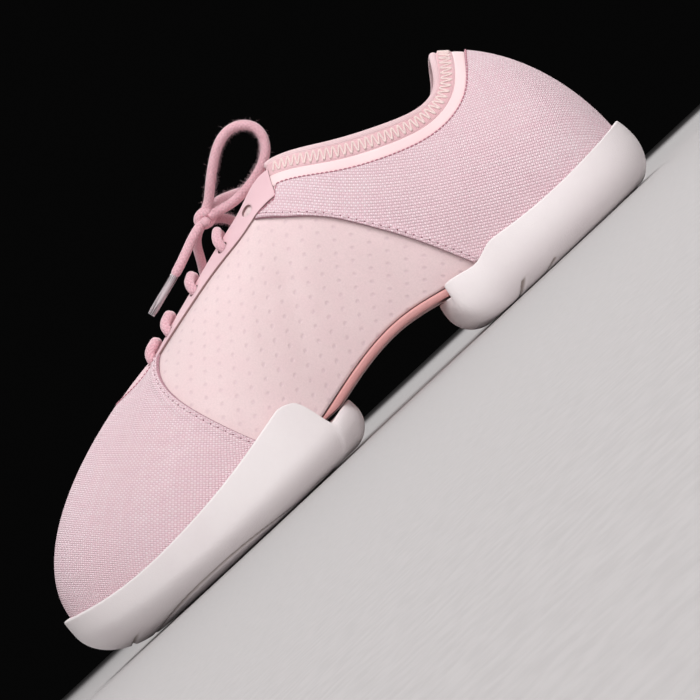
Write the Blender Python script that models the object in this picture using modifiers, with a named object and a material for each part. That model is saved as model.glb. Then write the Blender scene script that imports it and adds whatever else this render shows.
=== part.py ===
"""Split-sole dance sneaker for the left foot, in metres with +Z up.

The toe points to -Y and the outer side of the foot to +X. The shoe stands on
the flats of its two sole units, at Z = 0, with its box centred on the origin.
"""

import math

import bmesh
import bpy
import numpy as np
from mathutils import Matrix

MM = 0.001

# Sizes of the last
LENGTH = 260 * MM
BALL_WIDTH = 93 * MM
HEEL_WIDTH = 71 * MM
INSTEP_HEIGHT = 92 * MM
HEEL_HEIGHT = 79 * MM
BED_RISE = 22 * MM

# Walls and clearances
GAP = 0.3 * MM
UPPER_WALL = 2.0 * MM
COVER = 1.0 * MM
COVER_GAP = 0.6 * MM
EYESTAY_THICKNESS = 1.3 * MM
SOLE_WALL = 2.2 * MM
BELLY_ROOM = 1.1 * MM
INSOLE = 3.4 * MM
TONGUE = 3.0 * MM
PLATE = 2.8 * MM
PLATE_LIP = 1.0 * MM

# Trim of the upper
EYESTAY_WIDTH = 12 * MM
SADDLE_LENGTH = 21 * MM
COLLAR_BAND = 9.5 * MM
COLLAR_ROLL = 5.4 * MM
COLLAR_FLATNESS = 0.72
COVER_ROOT = 3.0 * MM
TONGUE_CROWN = 1.2 * MM

# Reach of the sole's outer face from the foot's outline
SOLE_REACH = SOLE_WALL + COVER + COVER_GAP + GAP + BELLY_ROOM

# Sole units and discs
SOLE_HEIGHT = 25 * MM
EDGE_ROUND = 0.7 * MM
DISC_RADIUS = 22.2 * MM
DISC_DEPTH = 3.2 * MM
DISC_SET = 0.4 * MM
FLAT_RADIUS = 28.5 * MM

# Lace
LACE = 4.2 * MM
AGLET = 3.4 * MM
BAR_CROWN = 0.4 * MM
BAR_SPACING = 1.1 * LACE
CORD_SPACING = 2.2 * LACE
KNOT_MIDDLE = (-5.7 * MM, 1.5 * MM, 95.1 * MM)
KNOT_SIZE = (12.4 * MM, 10.0 * MM, 8.0 * MM)
KNOT_WAVE = 0.09

# How finely curved pieces are divided
UPPER_COLUMNS_PER_SECTION = 3
UPPER_ROWS = 10
LOW_ROWS = 1.15
SOLE_COLUMNS = 56
DISC_STEPS = 24
EYESTAY_COLUMNS = 32
COLLAR_COLUMNS = 34
TONGUE_ROWS = 11
INSOLE_ROWS = 17
PLATE_ROWS = 18

# The outer face of the upper, a row for each section round the foot, from
# the toe along the outer side. Along is a share of LENGTH from the toe.
# Across and belly_out are shares of the ball's or the heel's width, from the
# line through the two discs, and heights of the instep's or heel's height.
# foot_along, foot_across, belly_out, belly_up,
# shoulder_along, shoulder_across, shoulder_height,
# edge_along, edge_across, edge_height
OUTER_FOREPART = (
    (0.015, 0.045, 0.085, 0.325, 0.160, 0.045, 0.715, 0.330, 0.030, 0.770),
    (0.040, 0.215, 0.075, 0.305, 0.170, 0.160, 0.695, 0.333, 0.075, 0.768),
    (0.105, 0.365, 0.065, 0.270, 0.230, 0.290, 0.670, 0.346, 0.102, 0.777),
    (0.200, 0.490, 0.050, 0.260, 0.296, 0.376, 0.705, 0.377, 0.124, 0.807),
    (0.308, 0.527, 0.038, 0.270, 0.373, 0.430, 0.750, 0.430, 0.140, 0.852),
    (0.396, 0.478, 0.034, 0.285, 0.446, 0.420, 0.784, 0.492, 0.156, 0.903),
    (0.477, 0.355, 0.050, 0.295, 0.508, 0.366, 0.818, 0.550, 0.172, 0.949),
    (0.558, 0.296, 0.043, 0.273, 0.577, 0.323, 0.840, 0.608, 0.187, 0.985),
)
HEEL_SECTIONS = (
    (0.642, 0.390, 0.058, 0.280, 0.660, 0.418, 0.840, 0.677, 0.335, 1.020),
    (0.723, 0.410, 0.058, 0.256, 0.742, 0.425, 0.680, 0.745, 0.360, 0.905),
    (0.808, 0.428, 0.050, 0.256, 0.820, 0.428, 0.640, 0.802, 0.340, 0.848),
    (0.892, 0.398, 0.050, 0.256, 0.888, 0.392, 0.700, 0.851, 0.270, 0.880),
    (0.953, 0.250, 0.050, 0.256, 0.942, 0.250, 0.770, 0.880, 0.155, 0.985),
    (0.980, 0.000, 0.036, 0.256, 0.967, 0.000, 0.810, 0.888, 0.000, 1.020),
    (0.953, -0.250, 0.050, 0.256, 0.942, -0.250, 0.770, 0.880, -0.155, 0.988),
    (0.892, -0.398, 0.050, 0.256, 0.888, -0.385, 0.705, 0.851, -0.270, 0.888),
    (0.812, -0.428, 0.050, 0.256, 0.820, -0.428, 0.660, 0.802, -0.340, 0.862),
    (0.730, -0.392, 0.050, 0.270, 0.750, -0.412, 0.695, 0.745, -0.355, 0.915),
    (0.650, -0.345, 0.050, 0.280, 0.670, -0.396, 0.840, 0.680, -0.330, 1.030),
)
INNER_FOREPART = (
    (0.562, -0.270, 0.043, 0.280, 0.580, -0.317, 0.852, 0.608, -0.145, 0.990),
    (0.477, -0.300, 0.048, 0.285, 0.512, -0.344, 0.830, 0.550, -0.132, 0.955),
    (0.392, -0.344, 0.036, 0.280, 0.446, -0.366, 0.795, 0.492, -0.110, 0.909),
    (0.304, -0.355, 0.038, 0.270, 0.373, -0.355, 0.761, 0.430, -0.090, 0.858),
    (0.210, -0.333, 0.045, 0.260, 0.296, -0.300, 0.710, 0.377, -0.066, 0.812),
    (0.127, -0.263, 0.065, 0.270, 0.227, -0.215, 0.676, 0.346, -0.042, 0.778),
    (0.052, -0.118, 0.075, 0.305, 0.177, -0.086, 0.700, 0.333, -0.012, 0.769),
)
SECTION_COUNT = len(OUTER_FOREPART) + len(HEEL_SECTIONS) + len(INNER_FOREPART)

# Height of the foot's bed at each tenth of the length, as shares of BED_RISE
BED_HEIGHTS = (0.73, 0.61, 0.57, 0.56, 0.64, 0.91, 1.04, 0.81, 0.62, 0.60, 0.68)

# Sides of the sole units by the upper's section: how far the under-edge
# rolls in as a share of BALL_WIDTH, then the heights of the widest line and
# of the wall above the bed as shares of SOLE_HEIGHT.
# section, roll, widest, wall
FOREFOOT_SIDES = (
    (-4.6, 0.130, 0.42, 0.26),
    (-4.0, 0.130, 0.42, 0.31),
    (-3.0, 0.135, 0.44, 0.31),
    (-2.0, 0.165, 0.52, 0.31),
    (-1.0, 0.225, 0.66, 0.34),
    (0.0, 0.285, 0.75, 0.38),
    (1.0, 0.255, 0.68, 0.34),
    (2.0, 0.195, 0.54, 0.28),
    (3.0, 0.155, 0.44, 0.29),
    (4.0, 0.140, 0.44, 0.42),
    (4.8, 0.140, 0.48, 0.54),
)
HEEL_SIDES = (
    (8.35, 0.125, 0.48, 0.20),
    (8.9, 0.110, 0.50, 0.24),
    (9.5, 0.098, 0.50, 0.26),
    (10.0, 0.092, 0.50, 0.26),
    (11.0, 0.095, 0.51, 0.26),
    (12.0, 0.110, 0.56, 0.27),
    (13.0, 0.120, 0.60, 0.29),
    (14.0, 0.110, 0.56, 0.27),
    (15.0, 0.095, 0.51, 0.26),
    (16.0, 0.092, 0.50, 0.26),
    (16.9, 0.110, 0.48, 0.20),
)

# Ends of the units under the arch, with the same columns after the place:
# along, across, roll, widest, wall
FOREFOOT_END = (
    (0.445, 0.452, 0.130, 0.48, 0.42),
    (0.468, 0.365, 0.125, 0.44, 0.12),
    (0.480, 0.210, 0.120, 0.42, 0.00),
    (0.470, 0.030, 0.120, 0.40, 0.00),
    (0.447, -0.140, 0.120, 0.40, 0.00),
    (0.414, -0.280, 0.125, 0.40, 0.08),
)
HEEL_END = (
    (0.688, -0.370, 0.120, 0.44, 0.08),
    (0.664, -0.230, 0.115, 0.42, 0.00),
    (0.652, -0.020, 0.115, 0.42, 0.00),
    (0.648, 0.200, 0.120, 0.44, 0.00),
    (0.655, 0.360, 0.125, 0.46, 0.06),
)
FOREFOOT_DISC_ALONG = 0.261
HEEL_DISC_ALONG = 0.852

# Seams of the overlays: the section where each crosses that share of the
# upper's height, first at the wall of the sole and last at the top
VAMP_SEAM = (4.75, 4.15, 3.50, 2.85)
VAMP_INNER_SEAM = (4.15, 3.75, 3.30, 2.85)
QUARTER_SEAM = (8.95, 8.45, 7.60, 6.35)
VAMP_COLUMNS = 34
VAMP_ROWS = 8
QUARTER_COLUMNS = 38
QUARTER_ROWS = 8

# Arch plate: its ends along the shoe, and how far each is tapered
PLATE_ENDS = (0.425, 0.735)
PLATE_TAPER = 0.045

# The eyestay's ends, and the lace bars across the throat, by section
EYESTAY_END = 7.0
TONGUE_ENDS = (0.75, 7.35)
LACE_BARS = (1.9, 3.1, 4.15, 5.2)

# Distances below the throat's edges where the tongue and the bars lie
TONGUE_REACHES = (10 * MM, 5 * MM, 0.4 * MM)
BAR_REACHES = (7 * MM, 3.4 * MM, 0.2 * MM)

# Routes of the lace from its knot, in millimetres of the shoe's own frame:
# across, along, up
OUTER_LOOP = (
    (-4.0, 6.6, 93.6),
    (-2.4, 12.2, 92.3),
    (-1.2, 18.0, 92.2),
    (0.0, 24.0, 93.0),
    (1.0, 29.8, 95.2),
    (1.6, 34.4, 99.4),
    (1.8, 35.6, 105.2),
    (1.6, 32.0, 110.0),
    (1.0, 26.2, 111.2),
    (0.2, 20.4, 109.2),
    (-1.0, 15.0, 105.6),
    (-2.6, 10.0, 101.6),
    (-4.2, 5.9, 98.3),
)
INNER_LOOP = (
    (-11.8, 2.4, 94.3),
    (-16.2, 5.2, 92.7),
    (-20.9, 7.3, 90.4),
    (-26.4, 7.8, 89.0),
    (-31.2, 6.8, 85.3),
    (-34.8, 6.0, 79.6),
    (-36.6, 6.6, 73.4),
    (-38.4, 10.0, 68.6),
    (-38.4, 15.4, 67.4),
    (-37.2, 20.0, 70.8),
    (-35.4, 21.8, 76.8),
    (-33.6, 21.8, 83.9),
    (-29.4, 20.8, 89.8),
    (-23.4, 17.8, 94.3),
    (-16.8, 12.8, 96.2),
    (-11.4, 8.4, 97.0),
)
OUTER_END = (
    (-3.2, -3.4, 93.7),
    (-1.2, -7.4, 92.2),
    (0.4, -11.6, 90.3),
    (1.2, -15.6, 88.6),
    (1.5, -19.6, 87.2),
)
OUTER_AGLET = (
    (1.52, -19.9, 87.1),
    (1.2, -35.2, 82.6),
)
INNER_END = (
    (-9.2, -3.2, 93.9),
    (-13.4, -6.6, 91.8),
    (-18.4, -9.0, 88.4),
    (-23.4, -11.2, 84.9),
    (-27.6, -13.6, 81.3),
)
INNER_AGLET = (
    (-27.9, -13.8, 81.05),
    (-37.2, -20.2, 69.6),
)


def knots_of(values):
    """Running chord length of the rows, used as the spline's parameter."""
    steps = np.linalg.norm(np.diff(values[:, :2], axis=0), axis=1)
    return np.concatenate(([0.0], np.cumsum(steps)))


def spline(values, knots):
    """Cubic spline through rows of values at the knots, as a function."""
    values = np.array(values, dtype=float)
    knots = np.array(knots, dtype=float)
    count = len(values)
    steps = np.diff(knots)
    chords = np.diff(values, axis=0) / steps[:, None]
    matrix = np.zeros((count, count))
    right = np.zeros_like(values)
    matrix[0, :2] = 2, 1
    matrix[-1, -2:] = 1, 2
    right[0] = 3 * chords[0]
    right[-1] = 3 * chords[-1]
    for row in range(1, count - 1):
        before, after = steps[row - 1], steps[row]
        matrix[row, row - 1:row + 2] = after, 2 * (before + after), before
        right[row] = 3 * (after * chords[row - 1] + before * chords[row])
    return hermite(values, np.linalg.solve(matrix, right), knots)


def closed_spline(values, knots):
    """Closed cubic spline: the last knot is where the first row comes again."""
    count = len(values)
    steps = np.diff(knots)
    loop = np.vstack((values, values[:1]))
    chords = np.diff(loop, axis=0) / steps[:, None]
    matrix = np.zeros((count, count))
    right = np.zeros_like(values)
    for row in range(count):
        before, after = steps[row - 1], steps[row]
        matrix[row, (row - 1) % count] += after
        matrix[row, row] += 2 * (before + after)
        matrix[row, (row + 1) % count] += before
        right[row] = 3 * (after * chords[row - 1] + before * chords[row])
    slopes = np.linalg.solve(matrix, right)
    curve = hermite(loop, np.vstack((slopes, slopes[:1])), knots)
    return lambda place: curve(np.mod(place, knots[-1]))


def hermite(values, slopes, knots):
    """Piecewise cubic from rows of values and slopes at the knots."""
    def at(place):
        place = np.clip(np.asarray(place, dtype=float), knots[0], knots[-1])
        cell = np.clip(np.searchsorted(knots, place, side="right") - 1, 0, len(knots) - 2)
        step = (knots[cell + 1] - knots[cell])[..., None]
        part = ((place - knots[cell])[..., None]) / step
        start, end = values[cell], values[cell + 1]
        leave, arrive = slopes[cell] * step, slopes[cell + 1] * step
        return (
            start * (1 + 2 * part) * (1 - part) ** 2
            + leave * part * (1 - part) ** 2
            + end * part ** 2 * (3 - 2 * part)
            - arrive * part ** 2 * (1 - part)
        )
    return at


def smooth_step(value):
    """Ease from 0 to 1."""
    value = np.clip(value, 0, 1)
    return value * value * (3 - 2 * value)


def scaled_sections():
    """Rows of the section tables as lengths."""
    rows = []
    for table, width, height in (
        (OUTER_FOREPART, BALL_WIDTH, INSTEP_HEIGHT),
        (HEEL_SECTIONS, HEEL_WIDTH, HEEL_HEIGHT),
        (INNER_FOREPART, BALL_WIDTH, INSTEP_HEIGHT),
    ):
        scale = (LENGTH, width, width, height, LENGTH, width, height, LENGTH, width, height)
        rows.extend([share * size for share, size in zip(row, scale)] for row in table)
    return np.array(rows)


SECTIONS = closed_spline(scaled_sections(), np.arange(SECTION_COUNT + 1.0))
BED = spline(np.array(BED_HEIGHTS)[:, None] * BED_RISE, np.linspace(0, LENGTH, len(BED_HEIGHTS)))


def bed_height(along):
    """Height of the upper's lower edge above the floor."""
    return BED(along)[..., 0]


def outward(section):
    """Outward unit vector of the foot's outline, as (along, across)."""
    step = 0.01
    change = SECTIONS(section + step)[..., :2] - SECTIONS(section - step)[..., :2]
    normal = np.stack((-change[..., 1], change[..., 0]), axis=-1)
    return normal / np.linalg.norm(normal, axis=-1, keepdims=True)


def foot_outline(section, reach=0.0):
    """The foot's outline moved outward by reach, as (along, across)."""
    return SECTIONS(section)[..., :2] + outward(section) * reach


def upper_face(section, rise):
    """Outer face of the upper at a section and a share of its rise."""
    section, rise = np.broadcast_arrays(np.asarray(section, float), np.asarray(rise, float))
    row = SECTIONS(section)
    foot = row[..., 0:2]
    floor = bed_height(foot[..., 0])
    belly = foot + outward(section) * row[..., 2:3]
    low = np.stack((foot[..., 0], foot[..., 1], floor), axis=-1)
    waist = np.stack((belly[..., 0], belly[..., 1], floor + row[..., 3]), axis=-1)
    shoulder = row[..., 4:7]
    edge = row[..., 7:10]
    part = rise[..., None]
    return (
        low * (1 - part) ** 3
        + waist * 3 * part * (1 - part) ** 2
        + shoulder * 3 * part ** 2 * (1 - part)
        + edge * part ** 3
    )


def upper_at(section, rise, offset=0.0):
    """The upper's outer face moved along its normal by offset."""
    section, rise = np.broadcast_arrays(np.asarray(section, float), np.asarray(rise, float))
    step = 0.004
    low = np.clip(rise - step, 0, 1)
    high = np.clip(rise + step, 0, 1)
    around = upper_face(section + step, rise) - upper_face(section - step, rise)
    upward = upper_face(section, high) - upper_face(section, low)
    normal = np.cross(upward, around)
    normal /= np.linalg.norm(normal, axis=-1, keepdims=True)
    return upper_face(section, rise) + normal * offset


def rise_below_edge(section, distance):
    """Share of the rise that lies the distance down from the top edge."""
    shares = np.linspace(0, 1, 81)
    points = upper_face(np.asarray(section, float)[..., None], shares)
    steps = np.linalg.norm(np.diff(points, axis=-2), axis=-1)
    down = np.flip(np.cumsum(np.flip(steps, -1), -1), -1)
    down = np.concatenate((down, np.zeros_like(down[..., :1])), axis=-1)
    flat = down.reshape(-1, len(shares))
    wanted = np.broadcast_to(distance, down.shape[:-1]).reshape(-1)
    found = [np.interp(-far, -line, shares) for far, line in zip(wanted, flat)]
    return np.array(found).reshape(down.shape[:-1])


def world(points):
    """From (along, across, height) to the shoe's own frame."""
    points = np.asarray(points)
    return np.stack(
        (points[..., 1] - ACROSS_MIDDLE, points[..., 0] - ALONG_MIDDLE, points[..., 2]), axis=-1)


def new_material(name, colour, roughness, metallic=0.0):
    """A plain material of one colour."""
    material = bpy.data.materials.new(name)
    material.use_nodes = True
    shader = material.node_tree.nodes["Principled BSDF"]
    shader.inputs["Base Color"].default_value = (*colour, 1)
    shader.inputs["Roughness"].default_value = roughness
    shader.inputs["Metallic"].default_value = metallic
    return material


def add_object(name, data, material):
    """Link an object that holds the data, with its material."""
    made = bpy.data.objects.new(name, data)
    data.materials.append(material)
    SHOE.objects.link(made)
    return made


def finish_mesh(name, bm, material):
    """Turn a bmesh into a smooth-shaded object with its faces outward."""
    bmesh.ops.recalc_face_normals(bm, faces=bm.faces)
    mesh = bpy.data.meshes.new(name)
    bm.to_mesh(mesh)
    bm.free()
    mesh.shade_smooth()
    mesh.set_sharp_from_angle(angle=math.radians(40))
    return add_object(name, mesh, material)


def add_grid(bm, points, wrap):
    """Vertices and faces of a grid of points; returns the vertex rows."""
    rows = [[bm.verts.new(point) for point in row] for row in points]
    pairs = zip(rows, rows[1:] + rows[:1]) if wrap else zip(rows, rows[1:])
    for row, following in pairs:
        for index in range(len(row) - 1):
            bm.faces.new((row[index], row[index + 1], following[index + 1], following[index]))
    return rows


def loft_shell(name, outer, inner, material, wrap=False):
    """Solid between two grids of sections with the same rows and columns."""
    bm = bmesh.new()
    skin = add_grid(bm, world(outer), wrap)
    lining = add_grid(bm, world(inner), wrap)
    last = len(skin) if wrap else len(skin) - 1
    for index in range(last):
        following = (index + 1) % len(skin)
        for side in (0, -1):
            bm.faces.new((
                skin[index][side], skin[following][side], lining[following][side], lining[index][side]))
    if not wrap:
        for end in (0, -1):
            for index in range(len(skin[end]) - 1):
                bm.faces.new((
                    skin[end][index], skin[end][index + 1], lining[end][index + 1], lining[end][index]))
    return finish_mesh(name, bm, material)


def loft_rings(name, poles, rings, material):
    """Solid through closed rings, its first and last drawn to the poles."""
    bm = bmesh.new()
    closed = [np.vstack((ring, ring[:1])) for ring in world(rings)]
    columns = np.array(closed)[:, :-1].transpose(1, 0, 2)
    rows = add_grid(bm, columns, wrap=True)
    for side, pole in zip((0, -1), world(poles)):
        middle = bm.verts.new(pole)
        for row, following in zip(rows, rows[1:] + rows[:1]):
            bm.faces.new((row[side], following[side], middle))
    return finish_mesh(name, bm, material)


def sole_outline(sides, end):
    """Outline rows of a sole unit: along, across, roll, widest, wall."""
    rows = []
    for section, roll, widest, wall in sides:
        along, across = foot_outline(np.array(float(section)), SOLE_REACH)
        rows.append((along, across, roll, widest, wall))
    for along, across, roll, widest, wall in end:
        width = BALL_WIDTH if along < 0.6 else HEEL_WIDTH
        rows.append((along * LENGTH, across * width, roll, widest, wall))
    rows = np.array(rows)
    rows[:, 2] *= BALL_WIDTH
    rows[:, 3:] *= SOLE_HEIGHT
    knots = knots_of(np.vstack((rows, rows[:1])))
    curve = closed_spline(rows, knots)
    return curve(np.linspace(0, knots[-1], SOLE_COLUMNS, endpoint=False))


def ring_inward(outline):
    """Inward unit vectors along a closed outline of (along, across)."""
    change = np.roll(outline, -1, axis=0) - np.roll(outline, 1, axis=0)
    normal = np.stack((-change[:, 1], change[:, 0]), axis=1)
    normal /= np.linalg.norm(normal, axis=1, keepdims=True)
    middle = outline.mean(axis=0)
    facing = np.sum(normal * (middle - outline), axis=1).mean()
    return normal if facing > 0 else -normal


def distance_outside_foot(points):
    """Distance of (along, across) points outward from the foot's outline."""
    loop = foot_outline(np.linspace(0, SECTION_COUNT, 520, endpoint=False))
    normals = outward(np.linspace(0, SECTION_COUNT, 520, endpoint=False))
    away = points[:, None] - loop[None]
    nearest = np.argmin(np.linalg.norm(away, axis=2), axis=1)
    picked = np.arange(len(points))
    return np.sum(away[picked, nearest] * normals[nearest], axis=1)


def plate_share(along):
    """How much of the plate's thickness there is at a place along."""
    start = PLATE_ENDS[0] * LENGTH
    end = PLATE_ENDS[1] * LENGTH
    taper = PLATE_TAPER * LENGTH
    return smooth_step((along - start) / taper) * smooth_step((end - along) / taper)


def cup_floor(along):
    """Inner floor of the sole units: under the bed, and under the plate."""
    start = (PLATE_ENDS[0] - PLATE_TAPER / 2) * LENGTH
    end = (PLATE_ENDS[1] + PLATE_TAPER / 2) * LENGTH
    taper = PLATE_TAPER * LENGTH
    share = smooth_step((along - start) / taper) * smooth_step((end - along) / taper)
    return bed_height(along) - GAP - (PLATE + 4 * GAP) * share


def sole_unit(name, sides, end, disc_along, crisp, material):
    """A cup of rubber with a rolled under-edge and a recess for its disc."""
    rows = sole_outline(sides, end)
    outline, roll, widest, wall = rows[:, :2], rows[:, 2:3], rows[:, 3], rows[:, 4]
    inward = ring_inward(outline)
    clear = distance_outside_foot(outline)
    low, high = SOLE_WALL + PLATE_LIP + 2 * GAP, SOLE_REACH - GAP
    floor_at_edge = cup_floor(outline[:, 0])
    wall_share = smooth_step((clear - low) / (high - low))
    top = floor_at_edge + wall * wall_share
    widest = np.minimum(widest, floor_at_edge - SOLE_WALL + wall * wall_share)
    disc = np.array((disc_along * LENGTH, 0.0))

    def ring(plan, height):
        return np.column_stack((plan, np.broadcast_to(height, len(plan))))

    def circle(radius, height):
        return ring(disc - to_disc * radius, height)

    recess = DISC_RADIUS + GAP
    to_disc = disc - outline
    to_disc /= np.linalg.norm(to_disc, axis=1, keepdims=True)
    flat_edge = outline + to_disc * roll
    flat_reach = np.linalg.norm(flat_edge - disc, axis=1)
    spring = EDGE_ROUND * np.clip((flat_reach - FLAT_RADIUS) / FLAT_RADIUS, 0, 4) ** 1.5
    flat_radius = np.minimum(FLAT_RADIUS, recess + 0.75 * (flat_reach - recess))[:, None]
    recess_top = DISC_DEPTH + DISC_SET + GAP
    rings = [
        circle(recess, recess_top),
        circle(recess, 0.0),
        circle(flat_radius, 0.0),
        ring(flat_edge, spring),
    ]
    for turn in (22, 42, 60, 76):
        angle = math.radians(turn)
        plan = outline + to_disc * roll * (1 - math.sin(angle))
        rings.append(ring(plan, spring + (widest - spring) * (1 - math.cos(angle))))
    rings.append(ring(outline, widest))
    lean = EDGE_ROUND if crisp else 0.0
    rings.append(ring(outline + inward * lean, top - EDGE_ROUND * 1.4))
    rings.append(ring(outline + inward * (lean + EDGE_ROUND), top))
    rings.append(ring(outline + inward * SOLE_WALL, top))
    base = outline + inward * (SOLE_WALL + GAP)
    rings.append(ring(base, cup_floor(base[:, 0])))
    for share in (0.82, 0.5):
        plan = disc + (base - disc) * share
        rings.append(ring(plan, cup_floor(plan[:, 0])))
    poles = np.array([(*disc, recess_top), (*disc, cup_floor(disc[0]))])
    return loft_rings(name, poles, rings, material)


def pivot_disc(name, disc_along, material):
    """A turned rubber disc with a ring groove and a dished middle."""
    profile = (
        (0.00, 1.00), (0.97, 1.00), (1.00, 0.94), (1.00, 0.12), (0.96, 0.00),
        (0.70, 0.00), (0.665, 0.42), (0.63, 0.05), (0.54, 0.00), (0.40, 0.10), (0.00, 0.22),
    )
    mesh = bpy.data.meshes.new(name)
    bm = bmesh.new()
    points = [bm.verts.new((out * DISC_RADIUS, 0, up * DISC_DEPTH)) for out, up in profile]
    for start, end in zip(points, points[1:]):
        bm.edges.new((start, end))
    bm.to_mesh(mesh)
    bm.free()
    disc = add_object(name, mesh, material)
    disc.location = world((disc_along * LENGTH, 0.0, DISC_SET))
    screw = disc.modifiers.new("Turn", "SCREW")
    screw.steps = screw.render_steps = DISC_STEPS
    screw.use_merge_vertices = True
    screw.merge_threshold = 0.00001
    screw.use_smooth_shade = False
    return disc


def row_shares(rows):
    """Shares from 0 to 1, closer together low down, where walls curve most."""
    return np.linspace(0, 1, rows + 1) ** LOW_ROWS


def upper(material):
    """The hollow wall from the foot's edge to the topline."""
    sections = np.arange(0, SECTION_COUNT, 1 / UPPER_COLUMNS_PER_SECTION)[:, None]
    rises = row_shares(UPPER_ROWS)[None]
    outer = upper_at(sections, rises)
    inner = upper_at(sections, rises, -UPPER_WALL)
    return loft_shell("upper", outer, inner, material, wrap=True)


def seam_section(seam, share):
    """Section where a seam crosses a share of its height."""
    curve = spline(np.array(seam)[:, None], np.linspace(0, 1, len(seam)))
    return curve(share)[..., 0]


def cover_root(section):
    """Share of the rise where an overlay starts, inside the sole's wall."""
    row = SECTIONS(section)
    height = row[..., 3] * 3
    return COVER_ROOT / height


def overlay(name, starts, ends, columns, rows, top, thickness, material):
    """A sheet over the upper between two seams, from its root to the top."""
    shares = row_shares(rows)
    across = np.linspace(0, 1, columns + 1)
    sections = starts(shares)[None] + (ends(shares) - starts(shares))[None] * across[:, None]
    low = cover_root(sections)
    high = top(sections)
    rises = low + (high - low) * shares[None]
    outer = upper_at(sections, rises, COVER_GAP + thickness)
    inner = upper_at(sections, rises, COVER_GAP)
    return loft_shell(name, outer, inner, material)


def trim_width(section):
    """Width of the trim below the edge: saddle, eyestay, then collar band."""
    turn = np.mod(section, SECTION_COUNT)
    turn = np.minimum(turn, SECTION_COUNT - turn)
    saddle = (SADDLE_LENGTH - EYESTAY_WIDTH) * (1 - smooth_step(turn / 2.2))
    band = (COLLAR_BAND - EYESTAY_WIDTH) * smooth_step((turn - 6.6) / 1.2)
    return EYESTAY_WIDTH + saddle + band


def below_trim(section):
    """Share of the rise just below the trim."""
    return rise_below_edge(section, trim_width(section) + 2 * GAP)


def toe_vamp(material):
    """Woven sheet round the toe, between the seams on both sides."""
    return overlay(
        "toe_vamp", lambda share: -seam_section(VAMP_INNER_SEAM, share),
        lambda share: seam_section(VAMP_SEAM, share),
        VAMP_COLUMNS, VAMP_ROWS, below_trim, COVER, material)


def heel_quarter(material):
    """Woven sheet round the heel, from the throat's top to the sole."""
    return overlay(
        "heel_quarter", lambda share: seam_section(QUARTER_SEAM, share),
        lambda share: SECTION_COUNT - seam_section(QUARTER_SEAM, share),
        QUARTER_COLUMNS, QUARTER_ROWS, below_trim, COVER, material)


def eyestay(material):
    """Horseshoe round the throat with its saddle in front."""
    sections = np.linspace(-EYESTAY_END, EYESTAY_END, EYESTAY_COLUMNS + 1)[:, None]
    shares = np.linspace(0, 1, 4)[None]
    low = rise_below_edge(sections, trim_width(sections))
    rises = low + (1 - low) * shares
    outer = upper_at(sections, rises, GAP + EYESTAY_THICKNESS)
    inner = upper_at(sections, rises, GAP)
    return loft_shell("eyestay", outer, inner, material)


def collar_rim(material):
    """Soft roll along the topline, seated on the upper's edge."""
    start = EYESTAY_END + 0.12
    sections = np.linspace(start, SECTION_COUNT - start, COLLAR_COLUMNS + 1)
    middle = upper_at(sections, np.ones_like(sections), -UPPER_WALL / 2)
    tangent = np.gradient(middle, axis=0)
    tangent /= np.linalg.norm(tangent, axis=1, keepdims=True)
    rise = upper_face(sections, 1.0) - upper_face(sections, 0.97)
    rise -= tangent * np.sum(rise * tangent, axis=1, keepdims=True)
    rise /= np.linalg.norm(rise, axis=1, keepdims=True)
    side = np.cross(rise, tangent)
    radius = COLLAR_ROLL / 2
    centre = middle + rise * (radius + GAP)
    rings = []
    for turn in np.linspace(0, 2 * math.pi, 8, endpoint=False):
        wide = COLLAR_FLATNESS * radius * math.cos(turn)
        rings.append(centre + side * wide + rise * radius * math.sin(turn))
    bm = bmesh.new()
    rows = add_grid(bm, world(np.array(rings)), wrap=True)
    for end in (0, -1):
        bm.faces.new([row[end] for row in rows])
    return finish_mesh("collar_rim", bm, material)


def tongue(material):
    """Sheet under the throat, from inside the vamp to the collar's front."""
    outer, inner = [], []
    for section in np.linspace(*TONGUE_ENDS, TONGUE_ROWS + 1):
        sides = []
        for side in (section, SECTION_COUNT - section):
            for distance in TONGUE_REACHES:
                rise = rise_below_edge(np.array(side), distance)
                sides.append(upper_at(side, rise, -UPPER_WALL - 3 * GAP))
        near = sides[:3]
        far = sides[:2:-1]
        bridge = (near[-1] + far[0]) / 2 + np.array((0, 0, TONGUE_CROWN))
        line = np.array(near + [bridge] + far)
        curve = spline(line, knots_of(line[:, 1:]))
        outline = curve(np.linspace(0, knots_of(line[:, 1:])[-1], 9))
        change = np.gradient(outline, axis=0)
        normal = np.cross(change, np.array((1.0, 0, 0.25)))
        normal /= np.linalg.norm(normal, axis=1, keepdims=True)
        if normal[4, 2] < 0:
            normal = -normal
        outer.append(outline)
        inner.append(outline - normal * TONGUE)
    return loft_shell("tongue", np.array(outer), np.array(inner), material)


def across_grid(sections, reach, columns):
    """Rows from the outer to the inner side of the foot's outline."""
    outer = foot_outline(sections, reach)
    inner = foot_outline(SECTION_COUNT - sections, reach)
    share = np.linspace(0, 1, columns + 1)[None, :, None]
    return outer[:, None] * (1 - share) + inner[:, None] * share


def with_height(plan, height):
    """Add a height to a grid of (along, across)."""
    return np.concatenate((plan, height[..., None]), axis=-1)


def insole(material):
    """Footbed inside the upper, over the sole units and the plate."""
    ends = np.array((0.10, 0.25))
    middle = np.linspace(0.5, SECTION_COUNT / 2 - 0.5, INSOLE_ROWS)
    sections = np.concatenate((ends, middle, SECTION_COUNT / 2 - ends[::-1]))
    plan = across_grid(sections, -UPPER_WALL - 2 * GAP, 6)
    low = bed_height(plan[..., 0]) + GAP
    return loft_shell(
        "insole", with_height(plan, low + INSOLE), with_height(plan, low), material)


def plate_section(along, side):
    """Section of the foot's outline, on one side, at a place along."""
    sections = np.linspace(4.0, 11.0, 141)
    if side < 0:
        sections = SECTION_COUNT - sections
    places = foot_outline(sections)[:, 0]
    return np.interp(along, places, sections)


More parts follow.
